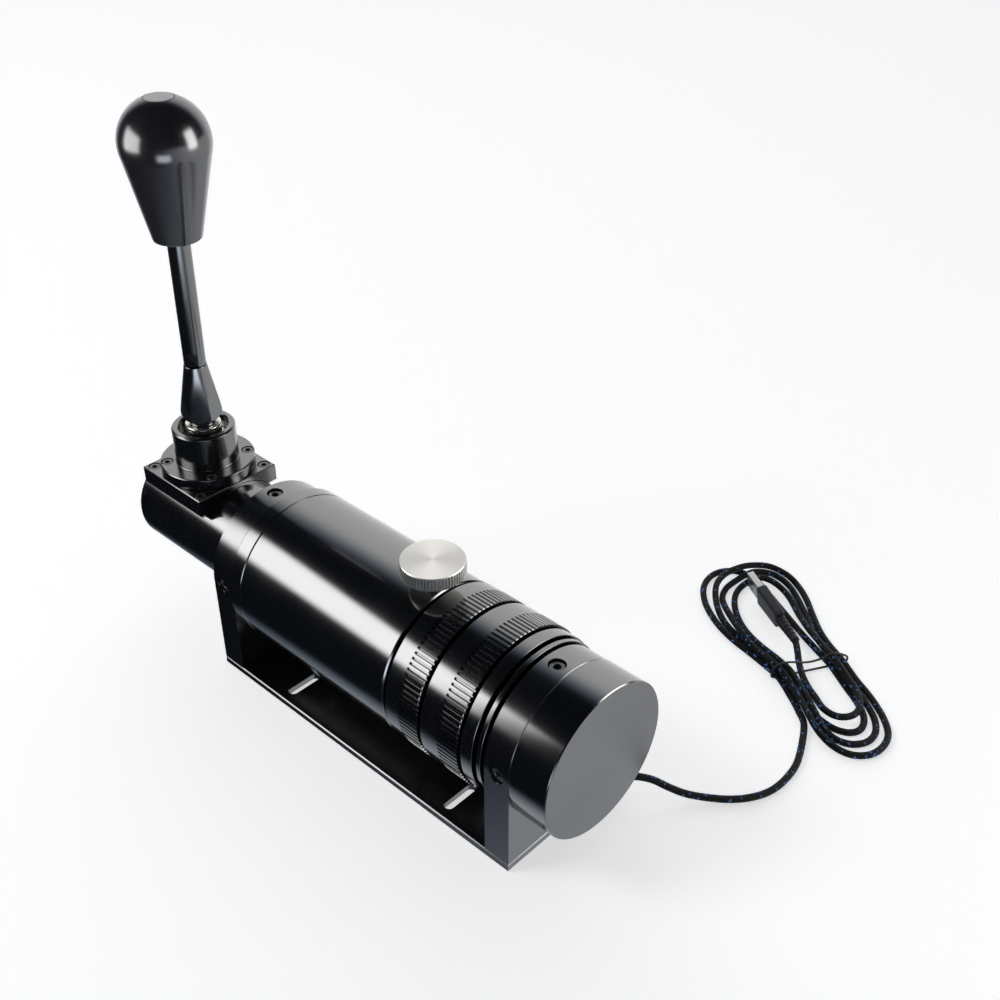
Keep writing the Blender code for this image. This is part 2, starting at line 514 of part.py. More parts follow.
# The hank's own axis runs from its wide end to its narrow end
HANK_START = Vector((108.0, 238.0, 0.0)) * mm
HANK_WAY = Vector((0.861, -0.508, 0.0)).normalized()
HANK_SIDE = Vector((-HANK_WAY.y, HANK_WAY.x, 0.0))
HALF_WIDTHS = [(-19, 0), (-17, 12), (-10, 24), (4, 33), (22, 35), (45, 31), (70, 25.5), (95, 22.5), (125, 22.5),
               (150, 22.5), (163, 15), (168, 0)]


def on_hank(along, across, height=0.0):
    return HANK_START + HANK_WAY * along + HANK_SIDE * across + Vector((0, 0, height))


outer = [Vector((a, w, 0)) * mm for a, w in HALF_WIDTHS]
upper = smooth_line(outer, 9 * mm)
hank_outline = [on_hank(p.x, p.y) for p in upper] + [on_hank(p.x, -p.y) for p in reversed(upper[1:-1])]
HANK_LOW, HANK_HIGH = 0.3 * mm, 13.0 * mm
hank = extruded("cable_hank", [(p.x, p.y) for p in hank_outline], HANK_LOW, HANK_HIGH, (0, 0, 0), BLACK,
                roughness=0.6, metallic=0.0)
PLUG_SIDE = 2.5 * mm
window = [on_hank(a, PLUG_SIDE + s) for a, s in ((0.0, -9 * mm), (72 * mm, -9 * mm), (72 * mm, 9 * mm), (0.0, 9 * mm))]
combine(hank, extruded("cut_plug_space", [(p.x, p.y) for p in window], -1 * mm, 20 * mm, (0, 0, 0), BLACK))

TIE_ALONG = 88.0 * mm
TIE_HALF, TIE_W, TIE_T, TIE_TOP = 24.4 * mm, 1.2 * mm, 0.9 * mm, 14.2 * mm
tie_section = [(-TIE_HALF, 0.3 * mm), (-TIE_HALF, TIE_TOP), (TIE_HALF, TIE_TOP), (TIE_HALF, 0.3 * mm),
               (TIE_HALF - TIE_T, 0.3 * mm), (TIE_HALF - TIE_T, TIE_TOP - TIE_T), (TIE_T - TIE_HALF, TIE_TOP - TIE_T),
               (TIE_T - TIE_HALF, 0.3 * mm)]
tie = extruded("cable_tie", tie_section, -TIE_W / 2, TIE_W / 2, on_hank(TIE_ALONG, 0.0), BLACK, plane="YZ",
               roughness=0.5, metallic=0.0)
tie.rotation_euler = (0, 0, math.atan2(HANK_WAY.y, HANK_WAY.x))

# Plug: lies along the hank with its wide side nearly upright
PLUG_ROLL = math.radians(100)
plug_axis = bpy.data.objects.new("plug_axis", None)
plug_axis.location = on_hank(20.5 * mm, PLUG_SIDE, 9.6 * mm)
plug_axis.rotation_euler = (PLUG_ROLL, 0, math.atan2(HANK_WAY.y, HANK_WAY.x))
bpy.context.collection.objects.link(plug_axis)
shell = block("usb_shell", (-16.5 * mm, -6 * mm, -2.25 * mm), (-GAP, 6 * mm, 2.25 * mm), SILVER, metallic=1.0)
shell.parent = plug_axis
grip = block("usb_grip", (0, -7.5 * mm, -3.6 * mm), (28 * mm, 7.5 * mm, 3.6 * mm), BLACK, metallic=0.0, roughness=0.45)
grip.parent = plug_axis
boot = turned("join_boot", [(0.0, 25 * mm), (3.4 * mm, 25 * mm), (2.6 * mm, 49 * mm), (0.0, 49 * mm)],
              (0, 0, 0), BLACK, "X", 12)
boot.parent = plug_axis
combine(grip, boot, "UNION")
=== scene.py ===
import json
import math

import bmesh
import bpy
from mathutils import Matrix, Vector


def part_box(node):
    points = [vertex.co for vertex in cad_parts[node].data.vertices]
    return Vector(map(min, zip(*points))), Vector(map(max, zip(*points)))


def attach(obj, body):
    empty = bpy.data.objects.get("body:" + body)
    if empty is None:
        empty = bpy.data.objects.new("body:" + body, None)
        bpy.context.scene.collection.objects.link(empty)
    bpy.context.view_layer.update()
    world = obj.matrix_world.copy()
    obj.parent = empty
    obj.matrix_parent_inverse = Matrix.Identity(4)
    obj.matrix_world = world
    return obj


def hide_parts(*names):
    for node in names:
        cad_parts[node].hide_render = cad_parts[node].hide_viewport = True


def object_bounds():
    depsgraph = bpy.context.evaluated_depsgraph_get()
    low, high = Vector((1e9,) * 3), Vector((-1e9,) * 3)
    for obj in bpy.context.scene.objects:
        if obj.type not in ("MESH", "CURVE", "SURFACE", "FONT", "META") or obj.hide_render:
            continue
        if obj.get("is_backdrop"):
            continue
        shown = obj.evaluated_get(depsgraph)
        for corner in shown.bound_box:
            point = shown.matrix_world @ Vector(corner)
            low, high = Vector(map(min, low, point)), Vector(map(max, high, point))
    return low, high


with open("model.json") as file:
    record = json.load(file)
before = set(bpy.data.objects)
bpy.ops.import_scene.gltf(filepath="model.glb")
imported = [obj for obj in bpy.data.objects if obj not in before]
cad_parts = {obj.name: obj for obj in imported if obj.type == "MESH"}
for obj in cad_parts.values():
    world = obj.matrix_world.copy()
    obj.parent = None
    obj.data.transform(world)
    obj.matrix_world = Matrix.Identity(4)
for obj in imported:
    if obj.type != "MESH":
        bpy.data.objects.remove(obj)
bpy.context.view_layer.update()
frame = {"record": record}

mm = 0.001
scene = bpy.context.scene
scene.view_settings.view_transform = "Standard"

# ---------------------------------------------------------------- camera
# A short telephoto lens looks down on the body from beside its flat end, high enough to see the
# tops of the rings, with the lever at the far left and the wound lead on the right.
TARGET = Vector((-0.0267, 0.1433, 0.0550))
VIEW_AZIMUTH = math.radians(43.18)
VIEW_ELEVATION = math.radians(34.56)
VIEW_DISTANCE = 0.8641
towards_camera = Vector((math.sin(VIEW_AZIMUTH) * math.cos(VIEW_ELEVATION),
                         -math.cos(VIEW_AZIMUTH) * math.cos(VIEW_ELEVATION),
                         math.sin(VIEW_ELEVATION)))
camera_data = bpy.data.cameras.new("product_camera")
camera_data.lens = 46.995
camera_data.sensor_width = 36.0
camera = bpy.data.objects.new("product_camera", camera_data)
camera.location = TARGET + VIEW_DISTANCE * towards_camera
camera.rotation_euler = (-towards_camera).to_track_quat("-Z", "Y").to_euler()
scene.collection.objects.link(camera)
scene.camera = camera

# ---------------------------------------------------------------- lead
# A thin round USB lead in a black braid with blue flecks. It leaves the foot of the front bracket,
# comes down to the table and is wound into a long hank of four turns, with its plug lying on top.
LEAD_D = 4.2 * mm
LEAD_ROUTE = [Vector(point) * mm for point in (
    (164.0, 39.0, 14.6), (167.4, 39.2, 14.8), (171.2, 42.6, 15.0), (177.4, 48.0, 12.9), (185.4, 52.8, 9.0),
    (193.0, 58.2, 5.4), (201.6, 65.4, 3.1), (211.6, 74.0, 2.2), (219.6, 83.6, 2.2), (224.8, 95.6, 2.2),
    (225.6, 110.6, 2.2), (222.4, 126.3, 2.2))]
HANK_START = Vector((108.0, 238.0, 0.0)) * mm
HANK_WAY = Vector((0.861, -0.508, 0.0)).normalized()
HANK_SIDE = Vector((-HANK_WAY.y, HANK_WAY.x, 0.0))


def on_hank(along, across, height=0.0):
    return HANK_START + HANK_WAY * along + HANK_SIDE * across + Vector((0, 0, height))


def smooth_line(points, spacing, closed=False):
    """Evenly spaced points on a Catmull-Rom curve through the given points."""
    if closed:
        padded = [points[-1]] + list(points) + [points[0], points[1]]
    else:
        padded = [2 * points[0] - points[1]] + list(points) + [2 * points[-1] - points[-2]]
    fine = []
    for a, b, c, d in zip(padded, padded[1:], padded[2:], padded[3:]):
        for i in range(16):
            t = i / 16
            fine.append(0.5 * (2 * b + (c - a) * t + (2 * a - 5 * b + 4 * c - d) * t * t
                               + (3 * b - a - 3 * c + d) * t ** 3))
    fine.append(padded[-2])
    total = sum((q - p).length for p, q in zip(fine, fine[1:]))
    count = round(total / spacing)
    result, walked, k = [fine[0]], 0.0, 1
    for p, q in zip(fine, fine[1:]):
        step = (q - p).length
        while k < count and walked + step >= k * total / count:
            result.append(p.lerp(q, (k * total / count - walked) / step))
            k += 1
        walked += step
    return result + [fine[-1]]


# The four turns of the hank as (along, across, height) of the centreline in mm. The first lies on the
# table; the later ones cross it in the open lobe and pile up on it where the tie draws them together.
LANE_1 = [(133, -23.2, 2.2), (120, -20.2, 2.2), (106, -19.0, 2.2), (92, -19.2, 2.2), (79, -21.8, 2.2),
          (64, -25.7, 2.2), (48, -30.8, 2.2), (31, -33.5, 2.2), (12, -32.5, 2.2), (-4, -27, 2.2),
          (-14, -17.5, 2.2), (-17, -7, 2.2), (-13.5, 3, 2.2), (-4.5, 9.3, 2.2), (10, 11.3, 2.2),
          (30, 12.6, 2.2), (55, 14.0, 2.2), (75, 15.6, 2.2), (90, 16.5, 2.2), (108, 16.9, 2.2),
          (125, 16.6, 2.2), (137, 13.8, 2.2), (144.3, 7.5, 2.2), (145, 0, 2.2), (139.5, -7.2, 2.2),
          (129, -12, 2.2), (117, -14.3, 2.2)]
LANE_2 = [(105, -14.6, 2.2), (92, -14.9, 2.2), (79, -17.4, 2.2), (64, -21.2, 2.2), (48, -26.2, 2.2),
          (31, -28.6, 2.6), (15, -26.4, 4.2), (1, -20.5, 6.4), (-8, -11, 6.6), (-12, 0, 6.8),
          (-12.5, 11, 6.8), (-8, 23, 6.4), (2, 31.3, 4.6), (14, 34, 2.8), (27, 33, 2.3),
          (42, 29.6, 2.2), (58, 26.4, 2.2), (72, 25.4, 2.2), (88, 25.6, 2.2), (105, 25.8, 2.2),
          (122, 26.6, 2.2), (140, 25, 2.2), (153, 20.5, 2.2), (161, 12, 2.2), (164, 2, 2.2),
          (161, -8, 2.3), (152.5, -15, 3.0), (141, -18.3, 4.6), (129, -18.3, 6.1), (118, -17.2, 6.2)]
LANE_3 = [(105, -16.6, 6.2), (92, -17, 6.3), (79, -19.5, 6.3), (64, -23.2, 6.3), (48, -24.5, 6.3),
          (31, -23.6, 4.6), (12, -20.5, 2.6), (1.5, -13.5, 2.3), (-4, -4, 2.8), (-5.5, 6, 6.0),
          (-4.5, 13, 6.9), (0, 21, 6.3), (8, 26.6, 4.5), (20, 28.2, 2.6), (42, 25.1, 2.2),
          (58, 21.9, 2.2), (72, 21, 2.2), (88, 21.2, 2.2), (105, 21.4, 2.2), (122, 21.6, 2.2),
          (138, 19.8, 2.2), (149, 14.5, 2.2), (154.5, 6, 2.2), (153.5, -4, 2.2), (147, -11.6, 3.0),
          (138, -14.2, 4.8), (127, -13.9, 6.4), (116, -12.6, 6.6)]
LANE_4 = [(105, -12.2, 6.6), (92, -12.5, 6.6), (79, -15, 6.5), (64, -18.8, 6.2), (48, -20.5, 4.8),
          (31, -18.4, 2.8), (17, -14.2, 2.3), (7, -8, 2.4), (1.2, 0.5, 3.4), (1.2, 9.8, 6.8),
          (7.5, 18, 6.0), (20, 22.6, 3.4), (40, 20.6, 3.2), (58, 18.2, 5.8), (75, 18.4, 6.4),
          (90, 18.8, 6.6), (108, 19.1, 6.6), (122, 17.6, 6.8), (133, 12, 6.9), (137, 4, 6.9),
          (134.5, -4, 6.9), (126.5, -8, 6.7), (116, -7.8, 6.3), (106, -7.4, 5.6), (96, -6.2, 5.6),
          (86, -3.2, 6.8), (78, -0.4, 8.6), (71, 1.8, 9.5), (64, 2.5, 9.6)]
TIE_ALONG = 88.0 * mm
TIE_R = 0.7 * mm


def lifted(along, across, height):
    """A point of the hank, raised a little where the tie passes underneath."""
    over_tie = math.exp(-((along * mm - TIE_ALONG) / (13 * mm)) ** 2)
    return on_hank(along * mm, across * mm, height * mm + 2 * TIE_R * over_tie)


wound = [lifted(*spot) for spot in LANE_1 + LANE_2 + LANE_3 + LANE_4[:-4]]
wound += [on_hank(*(value * mm for value in spot)) for spot in LANE_4[-4:]]
lead_path = smooth_line(LEAD_ROUTE + wound, 2.2 * mm)


def tube(name, path, radius, sides=16, cells=1.0):
    """A round tube along a path, closed at both ends, with its length and its turn stored as UV."""
    bm = bmesh.new()
    uv_layer = bm.loops.layers.uv.new("along_around")
    rings, reached, normal = [], [0.0], None
    for i, point in enumerate(path):
        way = (path[min(i + 1, len(path) - 1)] - path[max(i - 1, 0)]).normalized()
        if normal is None:
            normal = way.orthogonal().normalized()
        normal = (normal - way * normal.dot(way)).normalized()
        across = way.cross(normal)
        if i:
            reached.append(reached[-1] + (point - path[i - 1]).length)
        rings.append([bm.verts.new(point + radius * (math.cos(a) * normal + math.sin(a) * across))
                      for a in (2 * math.pi * k / sides for k in range(sides))])
    for i, (near, far) in enumerate(zip(rings, rings[1:])):
        for k in range(sides):
            face = bm.faces.new((near[k], near[(k + 1) % sides], far[(k + 1) % sides], far[k]))
            corners = ((i, k), (i, k + 1), (i + 1, k + 1), (i + 1, k))
            for loop, (row, column) in zip(face.loops, corners):
                loop[uv_layer].uv = (reached[row] / cells, column / sides)
    bm.faces.new(list(reversed(rings[0])))
    bm.faces.new(rings[-1])
    mesh = bpy.data.meshes.new(name)
    bm.to_mesh(mesh)
    bm.free()
    mesh.shade_smooth()
    piece = bpy.data.objects.new(name, mesh)
    scene.collection.objects.link(piece)
    return piece


def node_maker(tree):
    """A function that adds a shader node to the tree, with its inputs and its settings."""
    def node(kind, inputs=(), **settings):
        made = tree.nodes.new("ShaderNode" + kind)
        for key, value in settings.items():
            setattr(made, key, value)
        for socket, value in dict(inputs).items():
            if isinstance(value, bpy.types.NodeSocket):
                tree.links.new(value, made.inputs[socket])
            else:
                made.inputs[socket].default_value = value
        return made

    return node


def new_material(name):
    """A material with its Principled shader, its node maker and a function that drives the shader."""
    material = bpy.data.materials.new(name)
    material.use_nodes = True
    tree = material.node_tree
    shader = tree.nodes["Principled BSDF"]

    def drive(socket, value):
        tree.links.new(value, shader.inputs[socket])

    return material, shader, node_maker(tree), drive


def maths(node, operation, *values):
    return node("Math", dict(enumerate(values)), operation=operation).outputs[0]


def grain_at(node, spot, scale, detail=3.0):
    return node("TexNoise", {"Vector": spot, "Scale": scale, "Detail": detail}).outputs[0]


def spread(node, source, low, high, start=0.0, stop=1.0):
    """A number from low to high as the source goes from start to stop."""
    return node("MapRange", {"Value": source, "From Min": start, "From Max": stop,
                             "To Min": low, "To Max": high}).outputs[0]


def tinted(node, colour, source, low, high, start=0.0, stop=1.0):
    """The colour, made from low to high times as bright by the source."""
    tone = spread(node, source, low, high, start, stop)
    return node("VectorMath", {0: colour, "Scale": tone}, operation="SCALE").outputs["Vector"]


def between(node, grain, low, high, start=0.0, stop=1.0):
    """A colour between two others, drawn for each channel from a noise node."""
    limits = {"From Min": (start,) * 3, "From Max": (stop,) * 3, "To Min": low, "To Max": high}
    return node("MapRange", {"Vector": grain.outputs["Color"], **limits},
                data_type="FLOAT_VECTOR").outputs["Vector"]


def bumped(node, height, strength, distance):
    bump = node("Bump", {"Strength": strength, "Distance": distance, "Height": height})
    return bump.outputs["Normal"]


def put_on(piece, material):
    piece.data.materials.clear()
    piece.data.materials.append(material)
    return piece


BRAID_PITCH = 1.7 * mm        # length of one braid cell along the lead
BRAID_STRANDS = 7             # cells around the lead
BLACK_SHARE = 0.935           # share of the cells with no blue thread
BLACK_YARN = (0.0035, 0.0035, 0.004, 1)
BLUE_YARN = (0.09, 0.27, 0.75, 1)
material, shader, node, drive = new_material("lead_braid")
shader.inputs["Roughness"].default_value = 0.62
shader.inputs["Specular IOR Level"].default_value = 0.25
shader.inputs["Sheen Weight"].default_value = 0.06
shader.inputs["Sheen Roughness"].default_value = 0.4
parts = node("SeparateXYZ", {"Vector": node("UVMap", uv_map="along_around").outputs["UV"]}).outputs
around = maths(node, "MULTIPLY", parts["Y"], float(BRAID_STRANDS))
lays = [maths(node, way, parts["X"], around) for way in ("ADD", "SUBTRACT")]
ridges = []
for lay in lays:
    wave = maths(node, "SINE", maths(node, "MULTIPLY", lay, 2 * math.pi))
    ridges.append(maths(node, "ABSOLUTE", wave))
weave = maths(node, "MAXIMUM", *ridges)
left_cell, right_cell = [maths(node, "FLOOR", lay) for lay in lays]
cell = node("CombineXYZ", {"X": left_cell, "Y": right_cell})
draw = node("TexWhiteNoise", {"Vector": cell.outputs["Vector"]}, noise_dimensions="3D")
fleck = maths(node, "GREATER_THAN", draw.outputs["Value"], BLACK_SHARE)
thread = maths(node, "MULTIPLY", fleck, weave)
yarn = node("Mix", {"Factor": thread, 6: BLACK_YARN, 7: BLUE_YARN}, data_type="RGBA")
# The braid's colour is darkened down to 0.35 times between the ridges of the weave: painted shade in the
# grooves between its strands.
drive("Base Color", tinted(node, yarn.outputs[2], weave, 0.35, 1.0, 0.2, 1.0))
drive("Normal", bumped(node, weave, 0.8, 0.35 * mm))

lead = put_on(tube("braided_lead", lead_path, LEAD_D / 2, cells=BRAID_PITCH), material)
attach(lead, "housing")
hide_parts("usb_lead", "cable_hank")

# ---------------------------------------------------------------- stage
# A seamless white table under a broad overhead light, with two upright softboxes beside the object
# and a low card in front. Beyond them the room is dark, apart from the white wall behind.
floor_mesh = bpy.data.meshes.new("table")
reach = 6.0
floor_mesh.from_pydata([(-reach, -reach, 0), (reach, -reach, 0), (reach, reach, 0), (-reach, reach, 0)], [],
                       [(0, 1, 2, 3)])
floor = bpy.data.objects.new("table", floor_mesh)
scene.collection.objects.link(floor)
material, shader, node, drive = new_material("table_white")
shader.inputs["Base Color"].default_value = (0.8, 0.8, 0.805, 1)
shader.inputs["Roughness"].default_value = 0.7
shader.inputs["Emission Color"].default_value = (1.0, 1.0, 1.0, 1)
shader.inputs["Emission Strength"].default_value = 0.61
put_on(floor, material)
floor.visible_glossy = False
floor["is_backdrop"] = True

world = bpy.data.worlds.new("studio")
world.use_nodes = True
scene.world = world
world.node_tree.nodes.clear()
world_node = node_maker(world.node_tree)


def facing(way, start, stop, low, high):
    """Brightness that rises from low to high as a direction turns towards the given way."""
    along = world_node("VectorMath", {0: direction, 1: way}, operation="DOT_PRODUCT")
    return world_node("MapRange", {"Value": along.outputs["Value"], "From Min": start, "From Max": stop,
                                   "To Min": low, "To Max": high},
                      interpolation_type="SMOOTHSTEP").outputs["Result"]


direction = world_node("TexCoord").outputs["Generated"]
white_wall = facing((-0.684, 0.729, 0.0), 0.46, 0.85, 0.012, 1.25)
lit_table = facing((0.68, 0.73, 0.0), -0.2, 0.95, 0.012, 0.95)
below = facing((0, 0, -1), -0.03, 0.05, 0.0, 1.0)
table_part = maths(world_node, "MULTIPLY", lit_table, below)
near_table = facing((0, 0, -1), 0.66, 0.9, 0.0, 0.8)
lower_half = maths(world_node, "MAXIMUM", near_table, table_part)
room = maths(world_node, "MAXIMUM", white_wall, lower_half)
seen_directly = world_node("LightPath").outputs["Is Camera Ray"]
strength = world_node("Mix", {"Factor": seen_directly, 2: room, 3: 0.95}, data_type="FLOAT")
COOL, WHITE = (0.55, 0.75, 1.0, 1), (1.0, 1.0, 1.0, 1)
tint = world_node("Mix", {"Factor": room, 6: COOL, 7: WHITE}, data_type="RGBA")
background = world_node("Background", {"Color": tint.outputs[2], "Strength": strength.outputs[0]})
world_node("OutputWorld", {"Surface": background.outputs[0]})


def softbox(name, at, aim, width, height, radiance, colour=(1, 1, 1), glossy=True, edge=0.25):
    """An area lamp whose brightness falls off softly towards its edges."""
    data = bpy.data.lights.new(name, "AREA")
    data.shape = "RECTANGLE"
    data.size, data.size_y = width, height
    data.energy = radiance * math.pi * width * height
    data.color = colour
    data.use_nodes = True
    lamp_node = node_maker(data.node_tree)
    place = lamp_node("NewGeometry").outputs["Parametric"]
    across = lamp_node("SeparateXYZ", {0: place}).outputs
    falls = []
    for i in (0, 1):
        off = maths(lamp_node, "ABSOLUTE", maths(lamp_node, "SUBTRACT", across[i], 0.5))
        fall = lamp_node("MapRange", {"Value": off, "From Min": 0.5 - edge, "From Max": 0.5,
                                      "To Min": 1.0, "To Max": 0.0}, interpolation_type="SMOOTHSTEP")
        falls.append(fall.outputs["Result"])
    emission = data.node_tree.nodes["Emission"]
    data.node_tree.links.new(maths(lamp_node, "MULTIPLY", *falls), emission.inputs["Strength"])
    lamp = bpy.data.objects.new(name, data)
    lamp.location = at
    lamp.rotation_euler = (Vector(aim) - Vector(at)).to_track_quat("-Z", "Y").to_euler()
    lamp.visible_camera = False
    lamp.visible_diffuse = not glossy
    lamp.visible_glossy = glossy
    scene.collection.objects.link(lamp)


softbox("left_softbox", (-0.342, -0.418, 0.348), (-0.03, 0.0, 0.27), 0.50, 0.37, 4.3, edge=0.22)
softbox("right_softbox", (0.61, 0.50, 0.43), (-0.13, 0.0, 0.30), 0.54, 0.80, 6.0)
softbox("front_card", (0.345, -0.405, 0.05), (-0.138, 0.0, 0.30), 0.46, 0.24, 3.4, (0.82, 0.9, 1.0))
softbox("overhead", (0.0, 0.4, 3.5), (0.0, 0.4, 0.0), 8.0, 8.0, 0.22, glossy=False, edge=0.1)
softbox("key_wash", (-1.6, -1.8, 2.6), (0.0, 0.1, 0.0), 1.6, 1.6, 6.5, glossy=False)

# ---------------------------------------------------------------- base plate
# Flat aluminium bar, black anodised, with a fine bright chamfer all round. Four crosswise slots
# take the bolts, and the countersunk screws of the brackets come up through it.
AXIS_Z = 64.8 * mm
base_low, base_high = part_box("base_plate")


def plate(name, outlines, thickness, chamfer, steps=0):
    """A flat plate from closed outlines in the XY plane, the first its edge and the rest holes."""
    curve = bpy.data.curves.new(name, "CURVE")
    curve.dimensions = "2D"
    curve.fill_mode = "BOTH"
    curve.extrude = thickness / 2 - chamfer
    curve.bevel_depth = chamfer
    curve.bevel_resolution = steps
    curve.offset = -chamfer
    for outline in outlines:
        spline = curve.splines.new("POLY")
        spline.points.add(len(outline) - 1)
        for spot, (x, y) in zip(spline.points, outline):
            spot.co = (x, y, 0.0, 1.0)
        spline.use_cyclic_u = True
    drawn = bpy.data.objects.new(name + "_drawn", curve)
    scene.collection.objects.link(drawn)
    bpy.context.view_layer.update()
    mesh = bpy.data.meshes.new_from_object(drawn.evaluated_get(bpy.context.evaluated_depsgraph_get()))
    bpy.data.objects.remove(drawn)
    bpy.data.curves.remove(curve)
    bm = bmesh.new()
    bm.from_mesh(mesh)
    bmesh.ops.remove_doubles(bm, verts=bm.verts, dist=1e-6)
    bmesh.ops.dissolve_limit(bm, angle_limit=0.002, verts=bm.verts, edges=bm.edges)
    bmesh.ops.recalc_face_normals(bm, faces=bm.faces)
    bm.to_mesh(mesh)
    bm.free()
    piece = bpy.data.objects.new(name, mesh)
    scene.collection.objects.link(piece)
    return piece


def shade(piece, angle=32.0):
    """Smooth shading that keeps flats flat beside their small chamfers."""
    piece.data.shade_smooth()
    piece.data.set_sharp_from_angle(angle=math.radians(angle))
    weighted = piece.modifiers.new("flat_faces", "WEIGHTED_NORMAL")
    weighted.keep_sharp = True
    return piece


def cut(piece, *tools, operation="DIFFERENCE"):
    """Cuts the tools out of a piece for good, and throws the tools away."""
    for tool in tools:
        change = piece.modifiers.new("cut", "BOOLEAN")
        change.object = tool
        change.operation = operation
        change.solver = "EXACT"
    bpy.context.view_layer.update()
    mesh = bpy.data.meshes.new_from_object(piece.evaluated_get(bpy.context.evaluated_depsgraph_get()))
    piece.modifiers.clear()
    piece.data = mesh
    for tool in tools:
        bpy.data.objects.remove(tool)
    return piece


def slot_outline(x, y_low, y_high, radius, steps=12):
    points = []
    for end_y, first in ((y_high - radius, 0.0), (y_low + radius, math.pi)):
        for i in range(steps + 1):
            angle = first + math.pi * i / steps
            points.append((x + radius * math.cos(angle), end_y + radius * math.sin(angle)))
    return points


def anodised(name, roughness, colour=(0.0028, 0.0030, 0.0042), rings=None, ior=2.6, marks=0.03):
    """Black anodised aluminium: a hard glossy skin with faint tool marks. rings is the lathe's axis."""
    material, shader, node, drive = new_material(name)
    shader.inputs["IOR"].default_value = ior
    spot = node("TexCoord").outputs["Object"]
    if rings:
        flat = {"X": (0, 1, 1), "Z": (1, 1, 0)}[rings]
        off_axis = node("VectorMath", {0: spot, 1: flat}, operation="MULTIPLY").outputs[0]
        radius = node("VectorMath", {0: off_axis}, operation="LENGTH").outputs["Value"]
        station = node("SeparateXYZ", {"Vector": spot}).outputs[rings]
        cutter = maths(node, "ADD", station, radius)
        grain = node("TexNoise", {"W": cutter, "Scale": 1600.0, "Detail": 3.0},
                     noise_dimensions="1D").outputs[0]
    else:
        brushed = node("Mapping", {"Vector": spot, "Scale": (90.0, 2200.0, 2200.0)}).outputs[0]
        grain = grain_at(node, brushed, 1.0)
    cloud = grain_at(node, spot, 38.0)
    drive("Roughness", spread(node, cloud, roughness * 0.88, roughness * 1.14, 0.3, 0.7))
    drive("Base Color", tinted(node, colour, grain, 0.8, 1.2, 0.3, 0.7))
    drive("Normal", bumped(node, grain, marks, 0.02 * mm))
    if rings:
        shader.inputs["Anisotropic"].default_value = 0.35
        drive("Tangent", node("Tangent", direction_type="RADIAL", axis=rings).outputs[0])
    return material


def install(piece, body, slot_name, *nodes):
    """The piece rides on its body in place of the solids it stands for."""
    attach(piece, body)
    if nodes:
        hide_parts(*nodes)
    return piece


def black_part(piece, finish, node_name):
    """A finished piece of black anodised aluminium, fixed to the housing."""
    return install(shade(put_on(piece, finish)), "housing", "black_anodised", node_name)


def middle(node_name):
    """The middle of a solid in plan, at the table's height."""
    low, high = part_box(node_name)
    return ((low[0] + high[0]) / 2, (low[1] + high[1]) / 2, 0.0)


SLOT_W, SLOT_L = 5.5 * mm, 22.0 * mm
slot_centres = [[(low + high) / 2 for low, high in zip(*opening["box_m"])]
                for opening in frame["record"]["physics"]["openings"]]
edge = [(base_low[0], base_low[1]), (base_high[0], base_low[1]), (base_high[0], base_high[1]),
        (base_low[0], base_high[1])]
slots = [slot_outline(x, y - SLOT_L / 2, y + SLOT_L / 2, SLOT_W / 2) for x, y, _ in slot_centres]
base = plate("slotted_base", [edge] + slots, base_high[2] - base_low[2], 0.6 * mm)
base.location = (0, 0, (base_low[2] + base_high[2]) / 2)
base_finish = anodised("bar_anodised", 0.2)


def lathe(name, section, axis="X", at=(0, 0, 0), sides=180, columns=None, trim=None):
    """A turned piece from its section, (station, radius) points; points on the axis close its ends.
    columns gives the turn of each column of points, and trim changes a radius in a column."""
    bm = bmesh.new()
    turns = columns or [2 * math.pi * k / sides for k in range(sides)]
    rows = []
    for station, radius in section:
        row = []
        for k, turn in enumerate(turns if radius > 1e-7 else turns[:1]):
            reach = trim(station, radius, k) if trim else radius
            s, c = reach * math.sin(turn), reach * math.cos(turn)
            row.append(bm.verts.new((station, s, c) if axis == "X" else (c, s, station)))
        rows.append(row)
    for near, far in zip(rows, rows[1:] + rows[:1]):
        if len(near) + len(far) == 2:
            continue
        for k in range(len(turns)):
            after = (k + 1) % len(turns)
            corners = [near[k % len(near)], near[after % len(near)],
                       far[after % len(far)], far[k % len(far)]]
            bm.faces.new(list(dict.fromkeys(corners)))
    bmesh.ops.recalc_face_normals(bm, faces=bm.faces)
    mesh = bpy.data.meshes.new(name)
    bm.to_mesh(mesh)
    bm.free()
    piece = bpy.data.objects.new(name, mesh)
    piece.location = at
    scene.collection.objects.link(piece)
    return piece


def eased(section, size, steps=2):
    """The closed section with each corner off the axis rounded a little."""
    result = []
    for i, here in enumerate(section):
        here = Vector(here)
        if here.y < 1e-7:
            result.append(tuple(here))
            continue
        before = Vector(section[i - 1]) - here
        after = Vector(section[(i + 1) % len(section)]) - here
        p = here + before.normalized() * min(size, 0.4 * before.length)
        q = here + after.normalized() * min(size, 0.4 * after.length)
        for k in range(steps + 1):
            t = k / steps
            result.append(tuple(p.lerp(here, t).lerp(here.lerp(q, t), t)))
    return result


def pointed(at, way):
    """The placing that stands a piece at a point, with its Z along a direction."""
    return Matrix.Translation(at) @ Vector(way).to_track_quat("Z", "Y").to_matrix().to_4x4()


def drill(radius, start, end, at, way):
    """A round cutter from start to end along a direction through a point."""
    cutter = lathe("cutter", [(start, 0.0), (start, radius), (end, radius), (end, 0.0)], "Z", sides=48)
    cutter.matrix_world = pointed(at, way)
    return cutter


